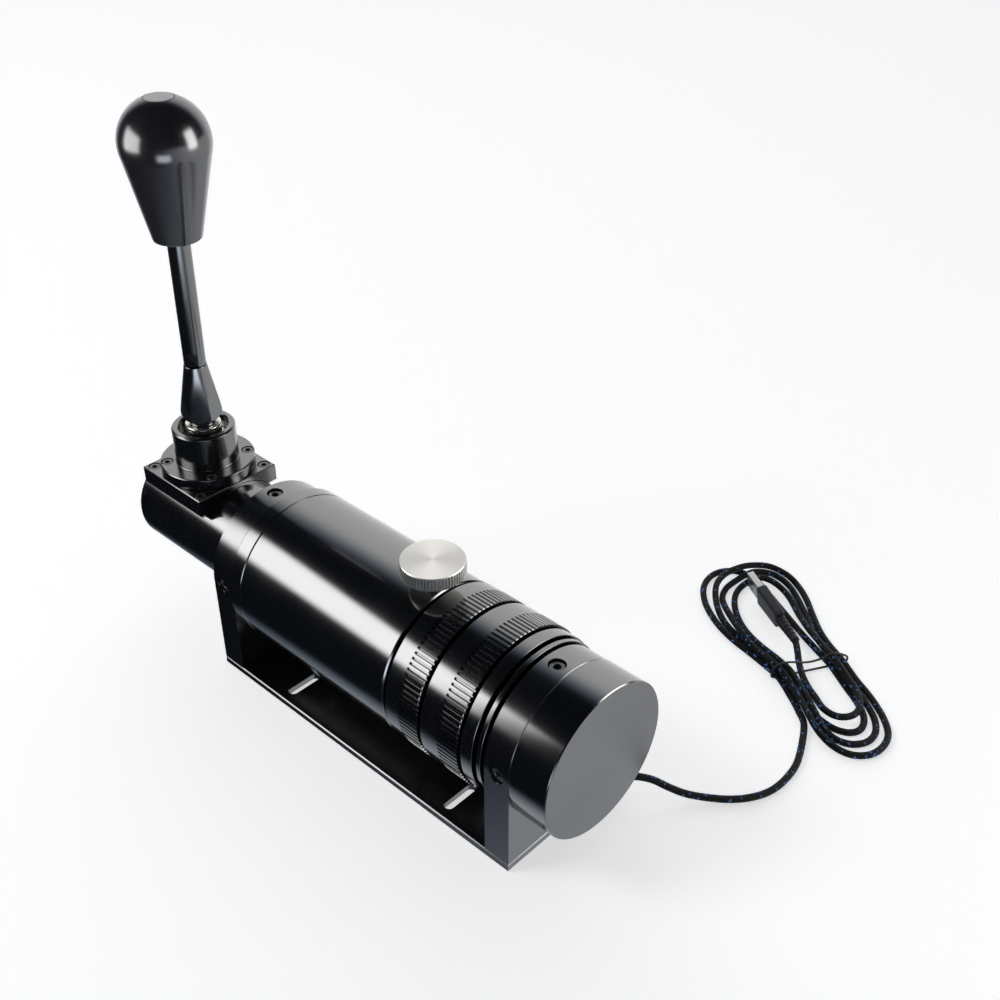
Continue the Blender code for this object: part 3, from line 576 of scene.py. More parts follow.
UP = Vector((0, 0, 1))
M5_HOLE_R = 2.8 * mm
CORNERS = [(place, side) for place in ("rear", "front") for side in ("left", "right")]
COUNTERSINK = [(-1 * mm, 0.0), (-1 * mm, 5.2 * mm), (0.7 * mm, 5.2 * mm), (3.1 * mm, M5_HOLE_R),
               (6 * mm, M5_HOLE_R), (6 * mm, 0.0)]
for place, side in CORNERS:
    at = middle(f"base_screw_{place}_{side}")
    cut(base, lathe("countersink", COUNTERSINK, "Z", at, sides=48))
black_part(base, base_finish, "base_plate")

# ---------------------------------------------------------------- brackets
# Two plates of the same bar, flat sided with a round top, bored for the tubes and chamfered like
# the base. Each has three counterbores in its rim for the screws that pinch the tube.
BRACKET_R = 44.7 * mm
BRACKET_CHAMFER = 0.3 * mm
RIM_SIDES = 96
REAR_BORE, CORE_BORE = 32.8 * mm, 35.3 * mm
SCREW_WAYS = {"top": UP, "left": Vector((0, -1, 0)), "right": Vector((0, 1, 0))}
ring_turns = [2 * math.pi * k / 128 for k in range(128)]
bracket_finish = anodised("bracket_anodised", 0.17)


def bracket_outlines(bore):
    half_turn = [math.pi * k / RIM_SIDES for k in range(RIM_SIDES + 1)]
    arc = [(BRACKET_R * math.cos(a), AXIS_Z + BRACKET_R * math.sin(a)) for a in half_turn]
    foot = 5.1 * mm
    edge = [(-BRACKET_R, foot), (BRACKET_R, foot)] + arc
    return [edge, [(bore * math.cos(a), AXIS_Z + bore * math.sin(a)) for a in ring_turns]]


def pinch_centre(place):
    """Where a bracket's three pinch screws point, on the tube's axis."""
    return Vector((middle(f"{place}_top_screw")[0], 0, AXIS_Z))


TURN_UPRIGHT = Matrix(((0, 0, 1, 0), (1, 0, 0, 0), (0, 1, 0, 0), (0, 0, 0, 1)))
for place, bore in (("rear", REAR_BORE), ("front", CORE_BORE)):
    low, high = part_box(f"{place}_bracket")
    bracket = plate(f"{place}_upright", bracket_outlines(bore), high[0] - low[0], BRACKET_CHAMFER)
    bracket.data.transform(TURN_UPRIGHT)
    bracket.location = ((low[0] + high[0]) / 2, 0, 0)
    centre = pinch_centre(place)
    for way in SCREW_WAYS.values():
        cut(bracket, drill(4.85 * mm, 37.9 * mm, 50 * mm, centre, way))
        cut(bracket, drill(M5_HOLE_R, 30 * mm, 40 * mm, centre, way))
    if place == "rear":
        cut(bracket, drill(CORE_BORE, -70.25 * mm, -60 * mm, (0, 0, AXIS_Z), (1, 0, 0)))
    else:
        cut(bracket, drill(3.8 * mm, -8 * mm, 1 * mm, (high[0], 39 * mm, 14.6 * mm), (1, 0, 0)))
    for y in (-25 * mm, 25 * mm):
        cut(bracket, drill(M5_HOLE_R, 4 * mm, 16 * mm, (centre.x, y, 0), UP))
    black_part(bracket, bracket_finish, f"{place}_bracket")

# ---------------------------------------------------------------- screws
# Socket head cap screws in blackened steel, M5 in the brackets and M4 in the turret. Each head has
# an eased rim and a hexagon socket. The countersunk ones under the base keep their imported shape.
material, shader, node, drive = new_material("blackened_steel")
shader.inputs["IOR"].default_value = 2.1
spot = node("TexCoord").outputs["Object"]
grit = grain_at(node, spot, 900.0)
oil = grain_at(node, spot, 160.0, 2.0)
drive("Base Color", tinted(node, (0.014, 0.014, 0.015), oil, 0.7, 1.5, 0.35, 0.65))
drive("Roughness", spread(node, grit, 0.24, 0.4, 0.3, 0.7))
drive("Normal", bumped(node, grit, 0.12, 0.03 * mm))
screw_finish = material


def hexagon(name, across_flats, low, high):
    """A six-sided bar along Z."""
    corner = across_flats / math.sqrt(3)
    return lathe(name, [(low, 0.0), (low, corner), (high, corner), (high, 0.0)], "Z", sides=6)


def socket_screw(name, head_r, head_h, shank_r, shank, key, socket):
    """A cap screw whose head's top is at the origin, pointing up."""
    foot = -head_h - shank
    section = [(0.0, 0.0), (0.0, head_r), (-head_h, head_r), (-head_h, shank_r), (foot, shank_r), (foot, 0.0)]
    screw = lathe(name, eased(section, 0.45 * mm, 3), "Z", sides=64)
    cut(screw, hexagon("key", key, -socket, 1 * mm))
    mouth = key / math.sqrt(3)
    rim = [(-0.35 * mm, 0.0), (-0.35 * mm, mouth - 0.45 * mm), (0.1 * mm, mouth + 0.1 * mm), (0.1 * mm, 0.0)]
    cut(screw, lathe("mouth", rim, "Z", sides=48))
    return put_on(screw, screw_finish)


def set_screw(pattern, node_name, at, way):
    screw = bpy.data.objects.new(node_name + "_head", pattern.data)
    scene.collection.objects.link(screw)
    screw.matrix_world = pointed(at, way)
    return install(shade(screw), "housing", "black_screw_steel", node_name)


HEAD_TOP = 43.2 * mm
M5_HEAD_R, M5_HEAD_H, M5_KEY = 4.25 * mm, 5 * mm, 4 * mm
for place, inner in (("rear", 30.5 * mm), ("front", 32.5 * mm)):
    shank = HEAD_TOP - M5_HEAD_H - inner
    pattern = socket_screw("m5_pattern", M5_HEAD_R, M5_HEAD_H, 2.5 * mm, shank, M5_KEY, 2.7 * mm)
    for side, way in SCREW_WAYS.items():
        set_screw(pattern, f"{place}_{side}_screw", pinch_centre(place) + way * HEAD_TOP, way)
    bpy.data.objects.remove(pattern)

M4_HEAD_R, M4_HEAD_H, M4_KEY = 3.5 * mm, 4 * mm, 3 * mm
for label, shank in (("block_screw", 9.9 * mm), ("flange_screw", 6.2 * mm)):
    pattern = socket_screw("m4_pattern", M4_HEAD_R, M4_HEAD_H, 2 * mm, shank, M4_KEY, 2.1 * mm)
    for i in range(1, 5):
        x, y, _ = middle(f"{label}_{i}")
        head_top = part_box(f"{label}_{i}")[1][2]
        set_screw(pattern, f"{label}_{i}", (x, y, head_top), UP)
    bpy.data.objects.remove(pattern)
for place, side in CORNERS:
    put_on(bpy.data.objects[f"base_screw_{place}_{side}"], screw_finish)

# ---------------------------------------------------------------- tubes, collar and sleeve
# Turned aluminium tubes, black anodised to a deep gloss. The thin core tube carries the rings and
# the long main sleeve; the fatter rear tube carries the lever turret and has its own end cap.
body_line = (0, 0, AXIS_Z)
LEVER_X = middle("turret_housing")[0]
LEVER_BORE = 14.5 * mm
THUMB_X = middle("thumb_screw")[0]
gloss_finish = anodised("turned_anodised", 0.13, rings="X")


def bored(inner, outer, start, end, chamfer=0.3 * mm):
    """The section of a plain tube with its outer edges chamfered."""
    section = [(start, inner), (start, outer - chamfer), (start + chamfer, outer), (end - chamfer, outer),
               (end, outer - chamfer), (end, inner)]
    return eased(section, 0.1 * mm, 2)


rear_tube = lathe("rear_barrel", bored(28.5 * mm, 32.5 * mm, -174.0 * mm, -70.4 * mm), at=body_line)
cut(rear_tube, drill(LEVER_BORE, 80 * mm, 110 * mm, (LEVER_X, 0, 0), UP))
black_part(rear_tube, gloss_finish, "rear_tube")
rear_cap = lathe("rear_barrel_cap", eased([
    (-179.6 * mm, 0.0), (-179.6 * mm, 29.6 * mm), (-179.1 * mm, 30.9 * mm), (-178.2 * mm, 31.9 * mm),
    (-176.9 * mm, 32.5 * mm), (-174.3 * mm, 32.5 * mm), (-174.3 * mm, 28.2 * mm), (-165.6 * mm, 28.2 * mm),
    (-165.6 * mm, 24.5 * mm), (-174.6 * mm, 24.5 * mm), (-174.6 * mm, 0.0)], 0.25 * mm, 3), at=body_line)
black_part(rear_cap, gloss_finish, "rear_end_cap")
core = lathe("core_barrel", bored(30.5 * mm, 35.0 * mm, -70.1 * mm, 155.1 * mm), at=body_line)
black_part(core, gloss_finish, "core_tube")
collar = lathe("shoulder_collar", eased([
    (-66.5 * mm, CORE_BORE), (-66.5 * mm, 44.2 * mm), (-64.9 * mm, 44.2 * mm), (-64.9 * mm, 46.9 * mm),
    (-64.5 * mm, 47.3 * mm), (-55.2 * mm, 47.3 * mm), (-54.8 * mm, 46.9 * mm), (-54.8 * mm, 43.5 * mm),
    (-46.0 * mm, 43.5 * mm), (-46.0 * mm, CORE_BORE)], 0.1 * mm), at=body_line)
black_part(collar, gloss_finish, "rear_collar")
sleeve = lathe("long_sleeve", eased([
    (-54.5 * mm, 43.8 * mm), (-54.5 * mm, 46.9 * mm), (-54.1 * mm, 47.3 * mm), (65.7 * mm, 47.3 * mm),
    (66.5 * mm, 46.5 * mm), (66.5 * mm, CORE_BORE), (51.5 * mm, CORE_BORE), (51.5 * mm, 43.8 * mm)],
    0.1 * mm), at=body_line, sides=240)
cut(sleeve, drill(4.3 * mm, 90 * mm, 118 * mm, (THUMB_X, 0, 0), UP))
black_part(sleeve, gloss_finish, "main_sleeve")

# ---------------------------------------------------------------- tension rings
# Two rings turned by hand on the core tube. The first part of each is plain and the rest is milled
# with straight grooves for grip. A groove is listed as its depth in mm at places along one pitch.
RING_TEETH = 98
RING_R = 47.8 * mm
TOOTH = ((0.0, 0.0), (0.17, 0.0), (0.34, 0.0), (0.51, 0.0), (0.53, 0.35), (0.64, 1.2), (0.85, 1.2),
         (0.98, 0.35))
tooth_columns = [2 * math.pi * (tooth + part) / RING_TEETH
                 for tooth in range(RING_TEETH) for part, _ in TOOTH]
for side, milled_from in (("rear", 79.3 * mm), ("front", 108.0 * mm)):
    low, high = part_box(f"tension_ring_{side}")
    start, end = low[0], high[0]
    section = [(start, CORE_BORE), (start, RING_R - 0.3 * mm), (start + 0.3 * mm, RING_R),
               (milled_from, RING_R), (milled_from + 0.12 * mm, RING_R), (end - 0.25 * mm, RING_R),
               (end, RING_R - 0.25 * mm), (end, CORE_BORE)]

    def milled(station, radius, k):
        depth = TOOTH[k % len(TOOTH)][1] * mm if station > milled_from + 0.05 * mm else 0.0
        return min(radius, RING_R - depth)

    ring = lathe(f"{side}_tension_ring", section, at=body_line, columns=tooth_columns, trim=milled)
    install(shade(put_on(ring, gloss_finish)), f"ring_{side}", "black_anodised", f"tension_ring_{side}")

# ---------------------------------------------------------------- fixed rings and front end cap
# Thinner rings in the same finish part the turning rings, and a plain satin-faced cap closes the
# front. The sensor's circuit board sits in the cap's hollow.
satin_finish = anodised("satin_face", 0.3, (0.006, 0.006, 0.007), "X", 2.6, 0.06)
guide = lathe("guide_band", bored(CORE_BORE, 46.7 * mm, 123.9 * mm, 131.6 * mm, 0.2 * mm), at=body_line)
black_part(guide, gloss_finish, "guide_ring")
keeper = lathe("keeper_band", bored(CORE_BORE, 45.7 * mm, 133.9 * mm, 136.6 * mm, 0.15 * mm), at=body_line)
black_part(keeper, gloss_finish, "retaining_ring")
front_cap = lathe("front_cap", eased([
    (179.6 * mm, 0.0), (179.6 * mm, 44.4 * mm), (179.0 * mm, 45.0 * mm), (155.9 * mm, 45.0 * mm),
    (155.7 * mm, 44.8 * mm), (155.7 * mm, 30.2 * mm), (147 * mm, 30.2 * mm), (147 * mm, 27 * mm),
    (158.5 * mm, 27 * mm), (158.5 * mm, 41 * mm), (175 * mm, 41 * mm), (175 * mm, 0.0)], 0.1 * mm),
    at=body_line, sides=240)
front_cap.data.materials.append(gloss_finish)
front_cap.data.materials.append(satin_finish)
for face in front_cap.data.polygons:
    face.material_index = 1 if face.center.x > 179.5 * mm else 0
install(shade(front_cap), "housing", "black_anodised", "front_end_cap")

material, shader, node, drive = new_material("circuit_board_green")
shader.inputs["Roughness"].default_value = 0.35
spot = node("TexCoord").outputs["Object"]
tracks = node("TexBrick", {"Vector": spot, "Color1": (0.01, 0.10, 0.045, 1),
                           "Color2": (0.012, 0.12, 0.05, 1), "Mortar": (0.03, 0.2, 0.08, 1),
                           "Scale": 220.0, "Mortar Size": 0.04})
drive("Base Color", tracks.outputs["Color"])
drive("Normal", bumped(node, tracks.outputs["Fac"], 0.3, 0.05 * mm))
put_on(bpy.data.objects["sensor_board"], material)

# ---------------------------------------------------------------- lever turret
# A square milled block saddled on the rear tube, and a turned flange and collar screwed down on it
# that hold the lever's gimbal. The block keeps the cutter's fine grain and the flange the lathe's.
block_finish = anodised("milled_anodised", 0.16)
flange_finish = anodised("flange_anodised", 0.19, rings="Z")
turret_line = (LEVER_X, 0, 0)
SKIRT, SKIRT_TOP = 26.0 * mm, 87.6 * mm


def square(half):
    return [(-half, -half), (half, -half), (half, half), (-half, half)]


def screw_holes(piece, label, head_span, hole_span):
    """Four counterbored holes for M4 screws, each span the start and end height of a cutter."""
    for i in range(1, 5):
        at = middle(f"{label}_{i}")
        cut(piece, drill(4.0 * mm, *head_span, at, UP), drill(2.3 * mm, *hole_span, at, UP))


low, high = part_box("turret_block")
turret = plate("saddle_block", [square((high[1] - low[1]) / 2)], high[2] - SKIRT_TOP, 0.5 * mm)
turret.location = (LEVER_X, 0, (high[2] + SKIRT_TOP) / 2)
skirt = plate("skirt", [square(SKIRT)], 7.5 * mm, 0.2 * mm)
skirt.location = (LEVER_X, 0, 84.25 * mm)
cut(turret, skirt, operation="UNION")
cut(turret, drill(REAR_BORE, -40 * mm, 40 * mm, (LEVER_X, 0, AXIS_Z), (1, 0, 0)))
cut(turret, drill(LEVER_BORE, 80 * mm, 110 * mm, turret_line, UP))
screw_holes(turret, "block_screw", (94.6 * mm, 104 * mm), (84 * mm, 96 * mm))
black_part(turret, block_finish, "turret_block")

flange = lathe("flanged_collar", eased([
    (99.5 * mm, 15.2 * mm), (99.5 * mm, 28.8 * mm), (99.7 * mm, 29.0 * mm), (105.9 * mm, 29.0 * mm),
    (106.5 * mm, 28.4 * mm), (106.5 * mm, 19.8 * mm), (106.9 * mm, 19.4 * mm), (128.5 * mm, 19.4 * mm),
    (129.5 * mm, 18.4 * mm), (129.5 * mm, 15.8 * mm), (128.9 * mm, 15.2 * mm)], 0.15 * mm),
    "Z", turret_line, 192)
screw_holes(flange, "flange_screw", (101.9 * mm, 110 * mm), (98 * mm, 104 * mm))
black_part(flange, flange_finish, "turret_housing")

# ---------------------------------------------------------------- lever
# A silver turned spacer, a hexagon coupler turned down to a cone, and a black steel-tube shaft with
# wrench flats, topped by a glossy moulded knob with a light plastic disc let into its top.
PIVOT = Vector((LEVER_X, 0, 112.0 * mm))
LEAN = math.radians(1.2)
leaning = Matrix.Translation(PIVOT) @ Matrix.Rotation(LEAN, 4, "Y") @ Matrix.Translation(-PIVOT)


def stand_on_lever(piece, slot_name, *nodes):
    piece.matrix_world = leaning @ Matrix.Translation(turret_line) @ piece.matrix_basis
    return install(shade(piece), "lever", slot_name, *nodes)


material, shader, node, drive = new_material("bright_turned_steel")
shader.inputs["Metallic"].default_value = 1.0
shader.inputs["Anisotropic"].default_value = 0.5
height = node("SeparateXYZ", {"Vector": node("TexCoord").outputs["Object"]}).outputs["Z"]
grain = node("TexNoise", {"W": height, "Scale": 6000.0, "Detail": 2.0}, noise_dimensions="1D")
drive("Base Color", between(node, grain, (0.70, 0.68, 0.62), (0.84, 0.82, 0.76), 0.3, 0.7))
drive("Roughness", spread(node, grain.outputs[0], 0.16, 0.3))
drive("Tangent", node("Tangent", direction_type="RADIAL", axis="Z").outputs[0])
steel_finish = material
spacer = lathe("silver_spacer", eased([
    (124.0 * mm, 4.8 * mm), (124.0 * mm, 10.3 * mm), (124.5 * mm, 10.8 * mm), (128.9 * mm, 10.8 * mm),
    (129.1 * mm, 10.45 * mm), (129.6 * mm, 10.45 * mm), (129.8 * mm, 10.8 * mm), (131.0 * mm, 10.8 * mm),
    (131.5 * mm, 10.3 * mm), (131.5 * mm, 4.8 * mm)], 0.1 * mm), "Z", sides=128)
stand_on_lever(put_on(spacer, steel_finish), "silver_aluminium", "lever_spacer")

HEX_R = 12.4 * mm
SHAFT_R = 6.6 * mm
lever_finish = anodised("lever_anodised", 0.2, rings="Z")
coupler = lathe("hexagon_coupler", eased([
    (131.8 * mm, 0.0), (131.8 * mm, 7.7 * mm), (132.1 * mm, 8.0 * mm), (135.5 * mm, 8.0 * mm),
    (135.5 * mm, 10.2 * mm), (137.7 * mm, HEX_R), (140.7 * mm, HEX_R), (171.7 * mm, 6.9 * mm),
    (172.0 * mm, 6.6 * mm), (172.0 * mm, 0.0)], 0.12 * mm), "Z", sides=128)
bar = hexagon("bar", HEX_R * math.sqrt(3), 131 * mm, 173 * mm)
bar.rotation_euler = (0, 0, math.radians(-8.4))
cut(coupler, bar, operation="INTERSECT")
cut(coupler, drill(4.8 * mm, 130 * mm, 150.5 * mm, (0, 0, 0), UP),
    drill(4.0 * mm, 154 * mm, 173 * mm, (0, 0, 0), UP))
stand_on_lever(put_on(coupler, lever_finish), "black_anodised", "lever_coupler")

shaft = lathe("lever_tube", eased([
    (155.0 * mm, 0.0), (155.0 * mm, 3.7 * mm), (172.3 * mm, 3.7 * mm), (172.3 * mm, SHAFT_R),
    (265.0 * mm, SHAFT_R), (265.0 * mm, 0.0)], 0.2 * mm), "Z", sides=128)
FLAT_OUTLINE = [(-9 * mm, -2 * mm), (9 * mm, -2 * mm), (9 * mm, 2 * mm), (-9 * mm, 2 * mm)]
for side in (-1, 1):
    flat = plate("flat", [FLAT_OUTLINE], 10 * mm, 0.05 * mm)
    flat.matrix_world = (Matrix.Rotation(math.radians(43), 4, "Z")
                         @ Matrix.Translation((0, side * 7.6 * mm, 176 * mm)))
    cut(shaft, flat)
stand_on_lever(put_on(shaft, lever_finish), "black_anodised", "lever_shaft")

material, shader, node, drive = new_material("knob_gloss")
shader.inputs["IOR"].default_value = 2.1
spot = node("TexCoord").outputs["Object"]
flow = grain_at(node, spot, 45.0, 2.0)
wear = grain_at(node, spot, 700.0, 4.0)
drive("Roughness", spread(node, wear, 0.16, 0.23, 0.3, 0.75))
drive("Base Color", tinted(node, (0.015, 0.0145, 0.018), flow, 0.9, 1.4))
drive("Normal", bumped(node, flow, 0.04, 0.4 * mm))
KNOB_R, KNOB_CENTRE, KNOB_TOP = 25.4 * mm, 307.3 * mm, 329.5 * mm
KNOB_FOOT, KNOB_FOOT_R, KNOB_EDGE = 252.5 * mm, 14.2 * mm, 0.9 * mm
RECESS_R = 8.4 * mm
drop = KNOB_CENTRE - KNOB_FOOT - KNOB_EDGE
tangent = math.atan2(KNOB_FOOT_R, drop) - math.asin(KNOB_R / math.hypot(KNOB_FOOT_R, drop))
last = math.pi / 2 - math.asin(RECESS_R / KNOB_R)
ball = [(KNOB_CENTRE + KNOB_R * math.sin(up), KNOB_R * math.cos(up))
        for up in (tangent + (last - tangent) * i / 48 for i in range(49))]
bottom = eased([(267 * mm, 0.0), (267 * mm, 6.9 * mm), (KNOB_FOOT, 6.9 * mm),
                (KNOB_FOOT, KNOB_FOOT_R - KNOB_EDGE)], 0.3 * mm)
bottom += [(KNOB_FOOT + 0.27 * mm, KNOB_FOOT_R - 0.27 * mm), (KNOB_FOOT + KNOB_EDGE, KNOB_FOOT_R)]
knob = lathe("grip_knob", bottom + ball + [(KNOB_TOP, RECESS_R), (KNOB_TOP, 0.0)], "Z", sides=160)
stand_on_lever(put_on(knob, material), "black_knob_gloss", "lever_knob")

material, shader, node, drive = new_material("insert_plastic")
shader.inputs["Roughness"].default_value = 0.42
grain = node("TexNoise", {"Vector": node("TexCoord").outputs["Object"], "Scale": 1400.0, "Detail": 2.0})
drive("Base Color", between(node, grain, (0.50, 0.50, 0.50), (0.60, 0.60, 0.60)))
drive("Normal", bumped(node, grain.outputs[0], 0.15, 0.03 * mm))
insert = lathe("knob_disc", eased([(329.8 * mm, 0.0), (329.8 * mm, 8.1 * mm), (331.2 * mm, 8.1 * mm),
                                   (331.5 * mm, 7.8 * mm), (331.5 * mm, 0.0)], 0.15 * mm), "Z", sides=96)
stand_on_lever(put_on(insert, material), "grey_insert", "knob_insert")

# ---------------------------------------------------------------- thumb screw
# Silver turned screw on top of the sleeve, with a straight-knurled rim and a lathe-finished face.
# It presses a brass pad on the core tube.
material, shader, node, drive = new_material("warm_turned_silver")
shader.inputs["Metallic"].default_value = 1.0
shader.inputs["Anisotropic"].default_value = 0.7
spot = node("TexCoord").outputs["Object"]
off_axis = node("VectorMath", {0: spot, 1: (1, 1, 0)}, operation="MULTIPLY").outputs[0]
radius = node("VectorMath", {0: off_axis}, operation="LENGTH").outputs["Value"]
grain = node("TexNoise", {"W": radius, "Scale": 7000.0, "Detail": 3.0}, noise_dimensions="1D")
drive("Base Color", between(node, grain, (0.72, 0.69, 0.64), (0.84, 0.82, 0.78), 0.3, 0.7))
drive("Roughness", spread(node, grain.outputs[0], 0.26, 0.42))
drive("Normal", bumped(node, grain.outputs[0], 0.2, 0.02 * mm))
drive("Tangent", node("Tangent", direction_type="RADIAL", axis="Z").outputs[0])
THUMB_RIBS = 60
THUMB_R, THUMB_UNDER, THUMB_TOP = 18.0 * mm, 121.5 * mm, 129.8 * mm
RIB_PARTS = 8
rib_columns = [2 * math.pi * k / (THUMB_RIBS * RIB_PARTS) for k in range(THUMB_RIBS * RIB_PARTS)]


def knurled(station, radius, k):
    if radius < THUMB_R - 0.9 * mm or not THUMB_UNDER + 0.3 * mm < station < THUMB_TOP - 0.3 * mm:
        return radius
    wave = abs(math.sin(math.pi * k / RIB_PARTS))
    return min(radius, THUMB_R - 0.4 * mm * (1.0 - wave ** 0.5))


thumb = lathe("knurled_screw", [
    (103.3 * mm, 0.0), (103.3 * mm, 4.0 * mm), (THUMB_UNDER, 4.0 * mm), (THUMB_UNDER, THUMB_R - 0.7 * mm),
    (THUMB_UNDER + 0.35 * mm, THUMB_R - 0.35 * mm), (THUMB_UNDER + 0.7 * mm, THUMB_R),
    (THUMB_TOP - 0.55 * mm, THUMB_R), (THUMB_TOP - 0.3 * mm, THUMB_R - 0.25 * mm),
    (THUMB_TOP, THUMB_R - 0.5 * mm), (THUMB_TOP, 0.0)],
    "Z", (THUMB_X, 0, 0), columns=rib_columns, trim=knurled)
install(shade(put_on(thumb, material)), "thumb_screw", "silver_aluminium", "thumb_screw")

# ---------------------------------------------------------------- gland, plug and tie
# A moulded strain relief holds the lead at the bracket. The far end is a moulded grip on a flat
# plated shell with its contacts inside, and a thin black tie is twisted round the hank.
def moulded(name, colour, roughness):
    """Dull injection-moulded plastic with a fine spark-eroded grain."""
    material, shader, node, drive = new_material(name)
    spot = node("TexCoord").outputs["Object"]
    grain = grain_at(node, spot, 2600.0)
    drive("Base Color", tinted(node, colour, grain_at(node, spot, 120.0, 2.0), 0.8, 1.2))
    drive("Roughness", spread(node, grain, roughness * 0.8, roughness * 1.2))
    drive("Normal", bumped(node, grain, 0.25, 0.04 * mm))
    return material


plastic_finish = moulded("moulded_black", (0.016, 0.016, 0.017), 0.5)
gland_at = (155.4 * mm, 39 * mm, 14.6 * mm)
gland = lathe("strain_relief", eased([
    (-7.5 * mm, 0.0), (-7.5 * mm, 3.5 * mm), (0.3 * mm, 3.5 * mm), (0.3 * mm, 5.0 * mm),
    (4.5 * mm, 5.0 * mm), (5.0 * mm, 4.3 * mm), (5.6 * mm, 4.3 * mm), (5.8 * mm, 3.9 * mm),
    (6.6 * mm, 3.9 * mm), (6.8 * mm, 3.4 * mm), (7.8 * mm, 3.3 * mm), (7.8 * mm, 0.0)], 0.2 * mm),
    at=gland_at, sides=64)
install(shade(put_on(gland, plastic_finish)), "housing", "black_plastic", "cable_gland")

PLUG_AT = on_hank(20.5 * mm, 2.5 * mm, 9.6 * mm)
PLUG_ROLL = math.radians(100)
hank_turn = Matrix.Rotation(math.atan2(HANK_WAY.y, HANK_WAY.x), 4, "Z")
plug_place = Matrix.Translation(PLUG_AT) @ hank_turn @ Matrix.Rotation(PLUG_ROLL, 4, "X")


def brick(name, low, high, rounding, steps=3):
    """A box between two corners with rounded edges."""
    bm = bmesh.new()
    bmesh.ops.create_cube(bm, size=1.0)
    low, high = Vector(low), Vector(high)
    for vert in bm.verts:
        vert.co = Vector([(a + b) / 2 + c * (b - a) for a, b, c in zip(low, high, vert.co)])
    if rounding:
        bmesh.ops.bevel(bm, geom=bm.edges[:] + bm.verts[:], offset=rounding, segments=steps, affect="EDGES",
                        profile=0.5)
    mesh = bpy.data.meshes.new(name)
    bm.to_mesh(mesh)
    bm.free()
    piece = bpy.data.objects.new(name, mesh)
    scene.collection.objects.link(piece)
    return piece


material, shader, node, drive = new_material("plated_shell")
shader.inputs["Metallic"].default_value = 1.0
spot = node("TexCoord").outputs["Object"]
brushed = node("Mapping", {"Vector": spot, "Scale": (300.0, 3000.0, 3000.0)}).outputs[0]
grain = node("TexNoise", {"Vector": brushed, "Scale": 1.0, "Detail": 3.0})
drive("Base Color", between(node, grain, (0.66, 0.65, 0.62), (0.8, 0.79, 0.77)))
drive("Roughness", spread(node, grain.outputs[0], 0.28, 0.45))
shell = brick("plug_shell", (-16.5 * mm, -6 * mm, -2.25 * mm), (-0.3 * mm, 6 * mm, 2.25 * mm), 0.5 * mm)
cut(shell, brick("hollow", (-17.5 * mm, -5.65 * mm, -1.9 * mm), (-2.0 * mm, 5.65 * mm, 1.9 * mm), 0.3 * mm))
HOLE_HALF = 1.15 * mm
for y in (-2.8 * mm, 2.8 * mm):
    corner = (-8.1 * mm, y + HOLE_HALF, 3 * mm)
    cut(shell, brick("hole", (-10.4 * mm, y - HOLE_HALF, -3 * mm), corner, 0.1 * mm))
shell.matrix_world = plug_place
install(shade(put_on(shell, material)), "housing", "plug_shell", "usb_shell")
tongue = brick("contact_tongue", (-15.9 * mm, -5.2 * mm, -1.7 * mm), (-2.2 * mm, 5.2 * mm, 0.1 * mm),
               0.15 * mm)
tongue.matrix_world = plug_place
install(shade(put_on(tongue, plastic_finish)), "housing", "black_plastic")

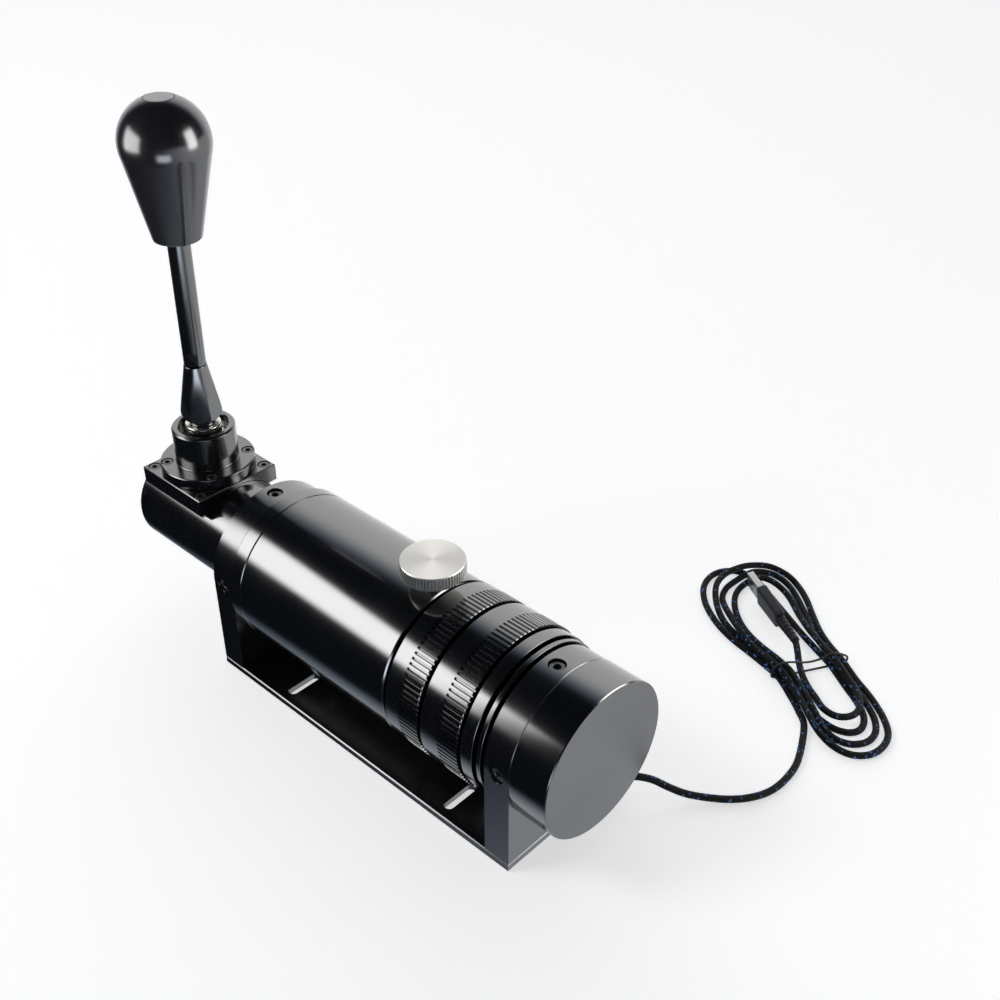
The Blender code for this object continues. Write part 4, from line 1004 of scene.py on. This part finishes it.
grip_finish = moulded("grip_black", (0.022, 0.022, 0.023), 0.42)
grip = brick("plug_grip", (0.0, -7.5 * mm, -3.6 * mm), (28 * mm, 7.5 * mm, 3.6 * mm), 1.6 * mm, 5)
for vert in grip.data.vertices:
    narrowing = max(0.0, (vert.co.x - 19 * mm) / (9 * mm))
    vert.co.y *= 1.0 - 0.22 * narrowing ** 2
    vert.co.z *= 1.0 - 0.08 * narrowing ** 2
grip.matrix_world = plug_place
install(shade(put_on(grip, grip_finish)), "housing", "black_plastic", "usb_grip")
ribs = [(26 * mm, 0.0), (26 * mm, 3.7 * mm), (29 * mm, 3.6 * mm)]
for i in range(5):
    at = 30.0 * mm + i * 3.5 * mm
    size = 3.5 * mm - i * 0.17 * mm
    groove = size - 0.6 * mm
    ribs += [(at, size), (at + 0.15 * mm, groove), (at + 1.25 * mm, groove), (at + 1.4 * mm, size)]
boot = lathe("plug_boot", eased(ribs + [(49 * mm, 2.7 * mm), (49 * mm, 0.0)], 0.15 * mm), sides=48)
boot.matrix_world = plug_place
install(shade(put_on(boot, grip_finish)), "housing", "black_plastic")

TIE_LOOP = [(-22.4, 3.6), (-21.4, 8.0), (-17.5, 10.6), (-11, 10.9), (-3, 8.6), (4, 7.6), (12, 8.6),
            (18.8, 10.9), (24.5, 8.6), (28.9, 5.6), (29.0, 2.6), (26, 0.8), (10, 0.75), (-10, 0.75),
            (-20.5, 0.9)]
tie_path = smooth_line([on_hank(TIE_ALONG, a * mm, z * mm) for a, z in TIE_LOOP], 1.5 * mm, closed=True)
tie = put_on(tube("twist_tie", tie_path, TIE_R, sides=10), plastic_finish)
install(tie, "housing", "black_plastic", "cable_tie")

# ---------------------------------------------------------------- inner works
# The gimbal, stem, selector shaft, bushes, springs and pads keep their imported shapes: turned steel,
# bearing brass and white acetal, each with the lathe's fine marks.
material, shader, node, drive = new_material("bearing_brass_turned")
shader.inputs["Metallic"].default_value = 1.0
grain = node("TexNoise", {"Vector": node("TexCoord").outputs["Object"], "Scale": 900.0, "Detail": 3.0})
drive("Base Color", between(node, grain, (0.55, 0.38, 0.16), (0.70, 0.5, 0.24)))
drive("Roughness", spread(node, grain.outputs[0], 0.25, 0.4))
brass_finish = material
for name in ("rear_bush", "front_bush", "lock_pad"):
    put_on(bpy.data.objects[name], brass_finish)
for name in ("dust_ring", "gimbal_ring", "cross_pin", "lever_stem", "selector_shaft", "selector_yoke",
             "centring_spring_rear", "centring_spring_front"):
    put_on(bpy.data.objects[name], steel_finish)
put_on(bpy.data.objects["position_carriage"], moulded("white_acetal", (0.72, 0.72, 0.70), 0.4))

low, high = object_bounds()
